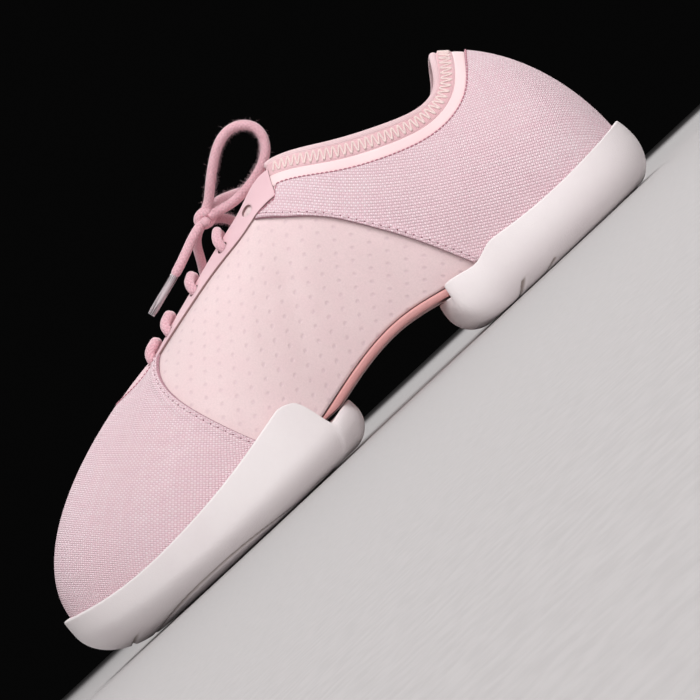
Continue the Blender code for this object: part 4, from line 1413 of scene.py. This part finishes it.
def collar_band_piece(name, reaches, height, material):
    """A strip of the collar's finish between two distances from the edge."""
    start = EYESTAY_END - 0.02
    sections = np.linspace(start, SECTION_COUNT - start, TAPE_RINGS)[:, None]
    share = border_steps(10, 5, 0.12)[None]
    reach = reaches[0] + (reaches[1] - reaches[0]) * share
    rises = rise_grid(sections, reach)
    base = upper_at(sections, rises)
    up = running(base, 1)
    edge = np.minimum(up, up[:, -1:] - up)
    face, back = TAPE_FACES
    outer = upper_at(sections, rises, face + height * rounded(edge, TAPE_ROUND))
    inner = upper_at(sections, rises, back)
    cloth = np.stack((running(base, 0), up), axis=-1)
    return shell_object(name, outer, inner, material, cloth)


def rise_grid(sections, reach):
    """Shares of the rise for a grid of distances below the edge."""
    columns = [rise_below_edge(sections[:, 0], distance) for distance in reach[0]]
    return np.stack(columns, axis=1)


def topline_frame(sections):
    """Middle of the wall at the topline, and the ways up and out."""
    ones = np.ones_like(sections)
    middle = upper_at(sections, ones, -UPPER_WALL / 2)
    tangent = unit(np.gradient(middle, axis=0))
    rise = square_to(upper_face(sections, 1.0) - upper_face(sections, 0.97), tangent)
    side = np.cross(rise, tangent)
    outer = upper_at(sections, ones) - middle
    return middle, rise, side * np.sign(np.sum(side * outer, axis=1, keepdims=True))


def topline_piece(name, profile, material, replaced=()):
    """A loop of cloth carried along the topline, closed at both ends."""
    start = EYESTAY_END - 0.08
    sections = np.linspace(start, SECTION_COUNT - start, BAND_RINGS)
    middle, rise, side = topline_frame(sections)
    loop = closed_line(np.array(profile) * MM, BAND_SIDES)
    close = rounded(np.minimum(sections - start, SECTION_COUNT - start - sections), 0.12)
    centre = loop.mean(axis=0)
    shape = centre + (loop - centre) * (0.35 + 0.65 * close)[:, None, None]
    rings = middle[:, None] + rise[:, None] * shape[..., :1] + side[:, None] * shape[..., 1:]
    along = running(middle[:, None], 0)
    around = running(np.vstack((loop, loop[:1]))[None], 1)[0, :-1]
    uv = np.stack(np.broadcast_arrays(along, around[None]), axis=-1)
    count, sides = rings.shape[:2]
    faces = capped_rings(count, sides)
    made = mesh_object(name, world(rings.reshape(-1, 3)), faces, material, uv.reshape(-1, 2))
    if replaced:
        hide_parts(*replaced)
    return made


def zigzag_row(name, heights, pitch, radius, material):
    """One thread that runs to and fro between two heights of the band."""
    start = EYESTAY_END + 0.1
    dense = np.linspace(start, SECTION_COUNT - start, ZIGZAG_PLACES)
    middle, rise, side = topline_frame(dense)
    distance = running(middle[:, None], 0)[:, 0]
    count = int(distance[-1] / pitch) * 2
    at = np.linspace(0, distance[-1], count)
    low, up, out = (rows_at(at, distance, values) for values in (middle, rise, side))
    height = np.where(np.arange(count) % 2 == 0, *heights)[:, None]
    points = world(low + up * height + out * ZIGZAG_REACH)
    return tube_piece(name, smooth_route(points, pitch / 5), radius, material, sides=6)


def tube_piece(name, points, radius, material, sides=TUBE_SIDES, replaced=()):
    """Round closed tube along world points; radius may vary along it."""
    points = np.asarray(points, dtype=float)
    count = len(points)
    radii = np.broadcast_to(radius, count)
    tangent = unit(np.gradient(points, axis=0))
    side = np.cross(tangent[0], (0.0, 0.0, 1.0))
    if np.linalg.norm(side) < 0.1:
        side = np.cross(tangent[0], (1.0, 0.0, 0.0))
    frames = []
    for direction in tangent:
        side = side - direction * np.dot(side, direction)
        side /= np.linalg.norm(side)
        frames.append(side)
    frames = np.array(frames)
    other = np.cross(tangent, frames)
    turns = np.linspace(0, 2 * math.pi, sides, endpoint=False)
    rings = (
        points[:, None]
        + frames[:, None] * (np.cos(turns)[None, :, None] * radii[:, None, None])
        + other[:, None] * (np.sin(turns)[None, :, None] * radii[:, None, None])
    )
    along = running(points[:, None], 0)
    around = np.abs(np.mod(turns + math.pi, 2 * math.pi) - math.pi) * LACE / 2
    uv = np.stack(np.broadcast_arrays(along, around[None]), axis=-1)
    faces = capped_rings(count, sides)
    made = mesh_object(name, rings.reshape(-1, 3), faces, material, uv.reshape(-1, 2))
    if replaced:
        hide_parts(*replaced)
    return made


def tongue_piece(material):
    """Thin padded tongue under the throat."""
    outer, inner = [], []
    for section in np.linspace(*TONGUE_ENDS, TONGUE_ROWS):
        sides = []
        for side in (section, SECTION_COUNT - section):
            for distance in TONGUE_REACHES:
                rise = rise_below_edge(np.array(side), distance)
                sides.append(upper_at(side, rise, -UPPER_WALL - 3 * GAP))
        near = sides[:3]
        far = sides[:2:-1]
        bridge = (near[-1] + far[0]) / 2 + np.array((0, 0, TONGUE_CROWN))
        line = np.array(near + [bridge] + far)
        knots = knots_of(line[:, 1:])
        outline = spline(line, knots)(np.linspace(0, knots[-1], TONGUE_COLUMNS))
        change = np.gradient(outline, axis=0)
        normal = unit(np.cross(change, np.array((1.0, 0, 0.25))))
        if normal[TONGUE_COLUMNS // 2, 2] < 0:
            normal = -normal
        reach = np.linspace(0, 1, TONGUE_COLUMNS)
        edge = rounded(np.minimum(reach, 1 - reach), 0.06)[:, None]
        outer.append(outline - normal * TONGUE * 0.5 * (1 - edge))
        inner.append(outline - normal * TONGUE * (1 - 0.5 * (1 - edge)))
    outer, inner = np.array(outer), np.array(inner)
    cloth = np.stack((running(outer, 0), running(outer, 1)), axis=-1)
    made = shell_object("tongue_cloth", outer, inner, material, cloth)
    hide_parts("tongue")
    return made


def insole_piece(material):
    """Footbed with a softly rounded rim."""
    half = SECTION_COUNT / 2
    sections = half * (1 - np.cos(np.linspace(0.09, math.pi - 0.09, INSOLE_ROWS))) / 2
    plan = across_grid(sections, -UPPER_WALL - 2 * GAP, INSOLE_COLUMNS)
    share = np.linspace(0, 1, INSOLE_COLUMNS + 1)[None]
    rim = rounded(np.minimum(share, 1 - share), 0.03)
    low = bed_height(plan[..., 0]) + GAP
    dish = INSOLE_DISH * (1 - (2 * share - 1) ** 2)
    top = with_height(plan, low + INSOLE * (0.55 + 0.45 * rim) - dish)
    cloth = np.stack((plan[..., 0], plan[..., 1]), axis=-1)
    made = shell_object("insole_cloth", top, with_height(plan, low), material, cloth)
    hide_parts("insole")
    return made


def groove_depth(x, y, arcs, lines):
    """Depth from 0 to 1 of the tread's grooves at places about a disc."""
    far = np.full(x.shape, 1.0)
    angle = np.degrees(np.arctan2(y, x))
    radius = np.hypot(x, y)
    for ring, start, end in arcs:
        middle, half = (start + end) / 2, (end - start) / 2
        turn = np.abs(np.mod(angle - middle + 180, 360) - 180)
        beyond = np.radians(np.maximum(turn - half, 0)) * ring * MM
        far = np.minimum(far, np.hypot(radius - ring * MM, beyond))
    for line in lines:
        route = smooth_route(np.column_stack((np.array(line) * MM, np.zeros(len(line)))), 1.2 * MM)
        for start, end in zip(route, route[1:]):
            step = (end - start)[:2]
            share = ((x - start[0]) * step[0] + (y - start[1]) * step[1]) / np.sum(step ** 2)
            share = np.clip(share, 0, 1)
            away = np.hypot(x - start[0] - share * step[0], y - start[1] - share * step[1])
            far = np.minimum(far, away)
    return 1 - smooth_step((far - GROOVE_FLAT) / GROOVE_SIDE)


def sole_piece(name, node, sides, end, disc_along, crisp, arcs, lines, material):
    """A rubber cup with its tread, rolled under-edge and disc recess."""
    rows = sole_outline(sides, end, SOLE_COLUMNS)
    outline, roll, widest, wall = rows[:, :2], rows[:, 2:3], rows[:, 3], rows[:, 4]
    inward = ring_inward(outline)
    clear = distance_outside_foot(outline)
    low, high = SOLE_WALL + PLATE_LIP + 2 * GAP, SOLE_REACH - GAP
    floor_at_edge = cup_floor(outline[:, 0])
    wall_share = smooth_step((clear - low) / (high - low))
    top = floor_at_edge + wall * wall_share
    widest = np.minimum(widest, floor_at_edge - SOLE_WALL + wall * wall_share)
    disc = np.array((disc_along * LENGTH, 0.0))
    to_disc = unit(disc - outline)
    recess = DISC_RADIUS + GAP
    recess_top = DISC_DEPTH + DISC_SET + GAP
    flat_edge = outline + to_disc * roll
    flat_reach = np.linalg.norm(flat_edge - disc, axis=1)
    spring = EDGE_ROUND * np.clip((flat_reach - FLAT_RADIUS) / FLAT_RADIUS, 0, 4) ** 1.5
    flat_radius = np.minimum(FLAT_RADIUS, recess + 0.75 * (flat_reach - recess))
    rings, marks = [], []

    def add(plan, height, mark=0.0):
        rings.append(np.column_stack((plan, np.broadcast_to(height, len(plan)))))
        marks.append(np.broadcast_to(mark, len(plan)))

    def circle(radius):
        return disc - to_disc * np.broadcast_to(radius, len(to_disc))[:, None]

    add(circle(recess), recess_top)
    add(circle(recess), RECESS_LIP)
    for turn in (20, 50, 80):
        angle = math.radians(turn)
        add(circle(recess + RECESS_LIP * (1 - math.cos(angle))), RECESS_LIP * (1 - math.sin(angle)))
    start = circle(recess + RECESS_LIP)
    flat_share = (flat_radius - recess) / (flat_reach - recess)
    for share in np.linspace(0, 1, TREAD_ROWS)[1:]:
        plan = start + (flat_edge - start) * share
        rise = spring * np.clip((share - flat_share) / (1 - flat_share), 0, 1)
        depth = groove_depth(plan[:, 1], plan[:, 0] - disc[0], arcs, lines)
        add(plan, rise + GROOVE * depth, depth)
    for turn in np.linspace(0, 90, 45)[1:]:
        angle = math.radians(turn)
        plan = outline + to_disc * roll * (1 - math.sin(angle))
        fade = 1 - smooth_step((turn - 34) / 16)
        depth = groove_depth(plan[:, 1], plan[:, 0] - disc[0], arcs, lines) * fade
        add(plan, spring + (widest - spring) * (1 - math.cos(angle)) + GROOVE * depth, depth)
    lean = EDGE_ROUND if crisp else 0.35 * EDGE_ROUND
    for share in np.linspace(0, 1, 9)[1:]:
        add(outline + inward * lean * share ** 2,
            widest + (top - EDGE_ROUND - widest) * share)
    for turn in np.linspace(0, 90, 7)[1:]:
        angle = math.radians(turn)
        add(outline + inward * (lean + EDGE_ROUND * (1 - math.cos(angle))),
            top - EDGE_ROUND * (1 - math.sin(angle)))
    for share in (0.5, 0.85, 1.0):
        across_top = lean + EDGE_ROUND + (SOLE_WALL - lean - EDGE_ROUND) * share
        add(outline + inward * across_top, top - TOP_FALL * share)
    base = outline + inward * (SOLE_WALL + GAP)
    add(base, cup_floor(base[:, 0]))
    for share in (0.82, 0.5, 0.1):
        plan = disc + (base - disc) * share
        add(plan, cup_floor(plan[:, 0]))
    points = world(np.array(rings))
    faces = capped_rings(*points.shape[:2])
    made = mesh_object(
        name, points.reshape(-1, 3), faces, material, None, {"groove": np.array(marks).reshape(-1)})
    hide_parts(node)
    return made


def disc_piece(name, node, disc_along, material):
    """A turned rubber disc: ring, groove and a raised dished middle."""
    rounds = [(0.0, 1.0)]
    for centre, radius, start, end in DISC_ROUNDS:
        for turn in np.linspace(start, end, 7):
            angle = math.radians(turn)
            rounds.append((
                centre[0] + radius[0] * math.cos(angle), centre[1] + radius[1] * math.sin(angle)))
    for share in np.linspace(0, 1, 12):
        rounds.append((0.50 * (1 - share), 0.02 + 0.24 * math.sin(share * math.pi / 2) ** 1.2))
    middle = Vector(world((disc_along * LENGTH, 0.0, DISC_SET)))
    bm = bmesh.new()
    corners = [
        bm.verts.new(middle + Vector((out * DISC_RADIUS, 0, up * DISC_DEPTH)))
        for out, up in rounds]
    edges = [bm.edges.new(pair) for pair in zip(corners, corners[1:])]
    bmesh.ops.spin(
        bm, geom=corners + edges, cent=middle, axis=(0, 0, 1), angle=2 * math.pi,
        steps=DISC_STEPS, use_merge=True)
    bmesh.ops.remove_doubles(bm, verts=bm.verts, dist=0.001 * MM)
    bmesh.ops.recalc_face_normals(bm, faces=bm.faces)
    made = bmesh_object(name, bm, material)
    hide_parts(node)
    return made


def plate_piece(material):
    """Smooth arch plate with rounded sides."""
    part = np.linspace(0, 1, PLATE_ROWS)
    along = (PLATE_ENDS[0] + (PLATE_ENDS[1] - PLATE_ENDS[0]) * part) * LENGTH
    lip = PLATE_LIP * (8 * part * (1 - part) - 1)[:, None]
    edges = [foot_outline(plate_section(along, side), lip) for side in (1, -1)]
    share = border_steps(30, 8, 0.03)[None, :, None]
    plan = edges[0][:, None] * (1 - share) + edges[1][:, None] * share
    across = np.minimum(share, 1 - share)[..., 0] * PLATE_WIDTH
    soft = 1 - rounded(across, PLATE_ROUND)
    top = bed_height(plan[..., 0]) - GAP
    thin = PLATE * (0.25 + 0.75 * plate_share(plan[..., 0]))
    upper_side = with_height(plan, top - 0.3 * thin * soft)
    under_side = with_height(plan, top - thin * (1 - 0.6 * soft))
    made = shell_object("arch_plate_skin", upper_side, under_side, material, plan)
    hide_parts("arch_plate")
    return made


def bar_piece(number, section, material):
    """The lace out of one eyelet, over the throat, and into the other."""
    lift = GAP + EYESTAY_THICKNESS + LACE / 2 + 0.15 * MM
    profile = (
        (EYELET_REACH + 0.6 * MM, -1.9 * MM), (EYELET_REACH + 0.3 * MM, 0.3 * MM),
        (EYELET_REACH - 0.9 * MM, lift - 0.9 * MM), (EYELET_REACH - 2.4 * MM, lift),
        (2.0 * MM, lift), (0.2 * MM, lift))
    sides = []
    for side in (section, SECTION_COUNT - section):
        sides.append([
            upper_at(side, rise_below_edge(np.array(side), reach), out) for reach, out in profile])
    near, far = sides[0], sides[1][::-1]
    crown = (near[-1] + far[0]) / 2 + np.array((0, 0, BAR_CROWN))
    route = smooth_route(world(np.array(near + [crown] + far)), ROUTE_STEP)
    for _ in range(BAR_EASING):
        route[1:-1] = route[1:-1] / 2 + (route[:-2] + route[2:]) / 4
    return tube_piece(
        f"lace_crossing_{number}", route, LACE / 2, material, replaced=[f"lace_bar_{number}"])


def knot_piece(material):
    """The bow's knot: a turn of lace round the crossing, over two strands."""
    middle = np.array(KNOT_MIDDLE)
    turns = np.linspace(-0.15, 2 * math.pi + 0.15, 60)
    ring = np.stack((
        middle[0] + 0.9 * MM * np.sin(turns) + 0.3 * MM,
        middle[1] + 2.7 * MM * np.cos(turns),
        middle[2] + 1.9 * MM * np.sin(turns)), axis=-1)
    tube_piece("knot_band", ring, LACE / 2, material, replaced=["lace_knot"])
    for number, route in enumerate(KNOT_STRANDS):
        line = smooth_route(np.array(route) * MM, STRAND_STEP)
        tube_piece(f"knot_strand_{number}", line, LACE / 2, material)


def free_lace(name, node, route, material, tip=None):
    """One free stretch of the bow as a cord."""
    path = smooth_route(np.array(route) * MM, ROUTE_STEP)
    radius = np.full(len(path), LACE / 2)
    if tip is not None:
        distance = running(path[:, None], 0)[:, 0]
        left = distance[-1] - distance
        inside = smooth_step((AGLET_LENGTH + 0.8 * MM - left) / (2.2 * MM))
        radius = radius * (1 - LACE_SQUEEZE * inside)
    made = tube_piece(name, path, radius, material, replaced=[node])
    followed = [tuple(point) for point in path[::6]] + [tuple(path[-1])]
    return path


def lace_fuzz(name, paths, radius, material):
    """Short stray fibres that stand out of the lace."""
    draw = np.random.default_rng(FUZZ_SEED)
    points, faces = [], []
    for path in paths:
        tangent = unit(np.gradient(path, axis=0))
        length = running(path[:, None], 0)[-1, 0]
        middle = path.mean(axis=0)
        for index in draw.integers(2, len(path) - 2, int(length / MM * FUZZ_PER_MM)):
            inward = (middle - path[index]) / np.linalg.norm(middle - path[index])
            way = draw.normal(size=3) + inward
            way -= tangent[index] * np.dot(way, tangent[index])
            way /= np.linalg.norm(way)
            shifted = path[index] + tangent[index] * draw.uniform(-0.35, 0.35) * MM
            root = shifted + way * radius * 0.93
            lean = way + tangent[index] * draw.normal() * 0.7 + draw.normal(size=3) * 0.25
            tip = root + lean * draw.uniform(*FUZZ_LENGTHS)
            beside = np.cross(way, tangent[index])
            start = len(points)
            for turn in (0.0, 2.1, 4.2):
                spread = tangent[index] * math.cos(turn) + beside * math.sin(turn)
                points.append(root + spread * FUZZ_RADIUS)
            points.append(tip)
            faces += [(start, start + 1, start + 2)]
            faces += [
                (start + one, start + 3, start + two) for one, two in ((0, 1), (1, 2), (2, 0))]
    points = np.array(points)
    return mesh_object(name, points, faces, material, np.zeros((len(points), 2)))


def aglet_piece(name, node, route, material):
    """Clear tip: a thin sleeve with a rounded mouth and a pinched end."""
    start, end = (np.array(place) * MM for place in route)
    share = np.linspace(0, 1, 40)
    path = start + (end - start) * share[:, None]
    pinch = 1 - AGLET_PINCH * smooth_step((share - 0.86) / 0.14)
    radius = AGLET_WIDTH / 2 * pinch * (0.9 + 0.1 * rounded(share, 0.04))
    return tube_piece(name, path, radius, material, sides=24, replaced=[node])


def add_light(name, place, target, size, power, colour):
    """A soft area light that faces a place."""
    data = bpy.data.lights.new(name, "AREA")
    data.size = size
    data.energy = power
    data.color = colour
    made = new_object(name, data)
    made.location = place
    made.rotation_euler = (Vector(target) - Vector(place)).to_track_quat("-Z", "Y").to_euler()


def add_camera():
    """The photo's side view, rolled, just above the floor."""
    data = bpy.data.cameras.new("photo_camera")
    data.lens = CAMERA_LENS
    data.clip_start = 1 * MM
    data.sensor_width = 36
    azimuth, elevation = (math.radians(angle) for angle in (CAMERA_AZIMUTH, CAMERA_ELEVATION))
    target = Vector(CAMERA_TARGET)
    away = Vector((
        math.sin(azimuth) * math.cos(elevation), -math.cos(azimuth) * math.cos(elevation),
        math.sin(elevation)))
    made = new_object("photo_camera", data)
    facing = (-away).to_track_quat("-Z", "Y").to_matrix().to_4x4()
    roll = Matrix.Rotation(-math.radians(CAMERA_ROLL), 4, "Z")
    made.matrix_world = Matrix.Translation(target + away * CAMERA_DISTANCE) @ facing @ roll
    bpy.context.scene.camera = made


def add_stage(material):
    """Plain pale floor under the shoe, with black behind it."""
    mesh = bpy.data.meshes.new("floor")
    bm = bmesh.new()
    bmesh.ops.create_grid(bm, x_segments=2, y_segments=2, size=FLOOR_SIZE)
    bm.to_mesh(mesh)
    bm.free()
    mesh.materials.append(material)
    floor = new_object("floor", mesh)
    floor.location.z = -FLOOR_DROP
    backdrop = bpy.data.worlds.new("backdrop")
    backdrop.use_nodes = True
    inputs = backdrop.node_tree.nodes["Background"].inputs
    inputs["Color"].default_value = (0.5, 0.5, 0.5, 1)
    inputs["Strength"].default_value = BACKDROP_LIGHT
    bpy.context.scene.world = backdrop


def soles_middle():
    """Middle of both sole units together, as (along, across)."""
    plan = np.vstack((
        sole_outline(FOREFOOT_SIDES, FOREFOOT_END, SOLE_FACETS),
        sole_outline(HEEL_SIDES, HEEL_END, SOLE_FACETS)))[:, :2]
    return (plan.min(axis=0) + plan.max(axis=0)) / 2


def tip_points(route):
    """Points of the lace inside its tip."""
    start, end = (np.array(place) for place in route)
    return [start + (end - start) * share for share in (0.35, 0.7, 0.97)]


ALONG_MIDDLE, ACROSS_MIDDLE = soles_middle()

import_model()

suede = microfibre_look()
canvas = canvas_look()
trim = trim_look()
lining = knit_look("lining_cloth", rgb(226, 182, 188), rgb(236, 198, 203))
band = knit_look("band_knit", rgb(233, 186, 192), rgb(240, 199, 204))
binding = knit_look("collar_knit", rgb(241, 206, 210), rgb(247, 217, 220))
tape = tape_look()
cream = rubber_look("cream_rubber", rgb(237, 228, 229), rgb(242, 235, 235), 0.56)
rose = rubber_look("rose_rubber", rgb(229, 164, 171), rgb(236, 177, 183), 0.42)
plate = rubber_look("dusty_plate", rgb(212, 152, 150), rgb(220, 162, 159), 0.46)
cotton = cotton_look()
clear = clear_look()
thread = stitch_look("sewing_thread", rgb(250, 222, 229))
collar_thread = stitch_look("collar_thread", rgb(252, 228, 224))
overlock = stitch_look("overlock_thread", rgb(206, 136, 152))
# Painted shadow: dark rose stand-ins for the shade inside the needle holes.
needle_hole_shadow = stitch_look("needle_hole_shadow", rgb(146, 82, 100))

upper_piece(suede, lining)
cover_piece(
    "toe_vamp_cloth", lambda share: -seam_section(VAMP_INNER_SEAM, share),
    lambda share: seam_section(VAMP_SEAM, share),
    VAMP_COLUMNS, COVER_ROWS, VAMP_GRAIN, VAMP_STITCHES)
cover_piece(
    "heel_quarter_cloth", lambda share: seam_section(QUARTER_SEAM, share),
    lambda share: SECTION_COUNT - seam_section(QUARTER_SEAM, share),
    QUARTER_COLUMNS, COVER_ROWS, QUARTER_GRAIN, QUARTER_STITCHES)
eyestay_piece(trim)
collar_band_piece("collar_tape", TAPE, TAPE_HEIGHT, tape)
topline_piece("collar_band", BAND_PROFILE, band)
topline_piece("collar_binding", RIM_PROFILE, binding, ["collar_rim"])
zigzag_row("collar_zigzag", ZIGZAG, ZIGZAG_PITCH, ZIGZAG_RADIUS, collar_thread)
tongue_piece(lining)
insole_piece(lining)
sole_piece("forefoot_unit", "forefoot_sole", FOREFOOT_SIDES, FOREFOOT_END, FOREFOOT_DISC_ALONG,
           False, FOREFOOT_ARCS, FOREFOOT_LINES, cream)
sole_piece("heel_unit", "heel_sole", HEEL_SIDES, HEEL_END, HEEL_DISC_ALONG,
           True, HEEL_ARCS, HEEL_LINES, cream)
disc_piece("forefoot_disc", "forefoot_pivot_disc", FOREFOOT_DISC_ALONG, rose)
disc_piece("heel_disc", "heel_pivot_disc", HEEL_DISC_ALONG, rose)
plate_piece(plate)
for number, section in enumerate(LACE_BARS, 1):
    bar_piece(number, section, cotton)
knot_piece(cotton)
outer_tip = aglet_piece("aglet_tip_outer", "aglet_outer", OUTER_AGLET, clear)
inner_tip = aglet_piece("aglet_tip_inner", "aglet_inner", INNER_AGLET, clear)
outer_route = (KNOT_OUTER_LOW, *OUTER_LOOP, KNOT_OUTER_HIGH)
inner_route = (KNOT_INNER_LOW, *INNER_LOOP, KNOT_INNER_HIGH)
loops = [
    free_lace("bow_loop_outer", "lace_loop_outer", outer_route, cotton),
    free_lace("bow_loop_inner", "lace_loop_inner", inner_route, cotton),
]
free_lace("bow_end_outer", "lace_end_outer", (KNOT_FRONT, *OUTER_END, *tip_points(OUTER_AGLET)),
          cotton, outer_tip)
free_lace("bow_end_inner", "lace_end_inner", (KNOT_FRONT, *INNER_END, *tip_points(INNER_AGLET)),
          cotton, inner_tip)
lace_fuzz("bow_fuzz", loops, LACE / 2, cotton)

add_stage(floor_look())
for light in LIGHTS:
    add_light(*light)
bpy.context.scene.view_settings.view_transform = "Standard"
add_camera()
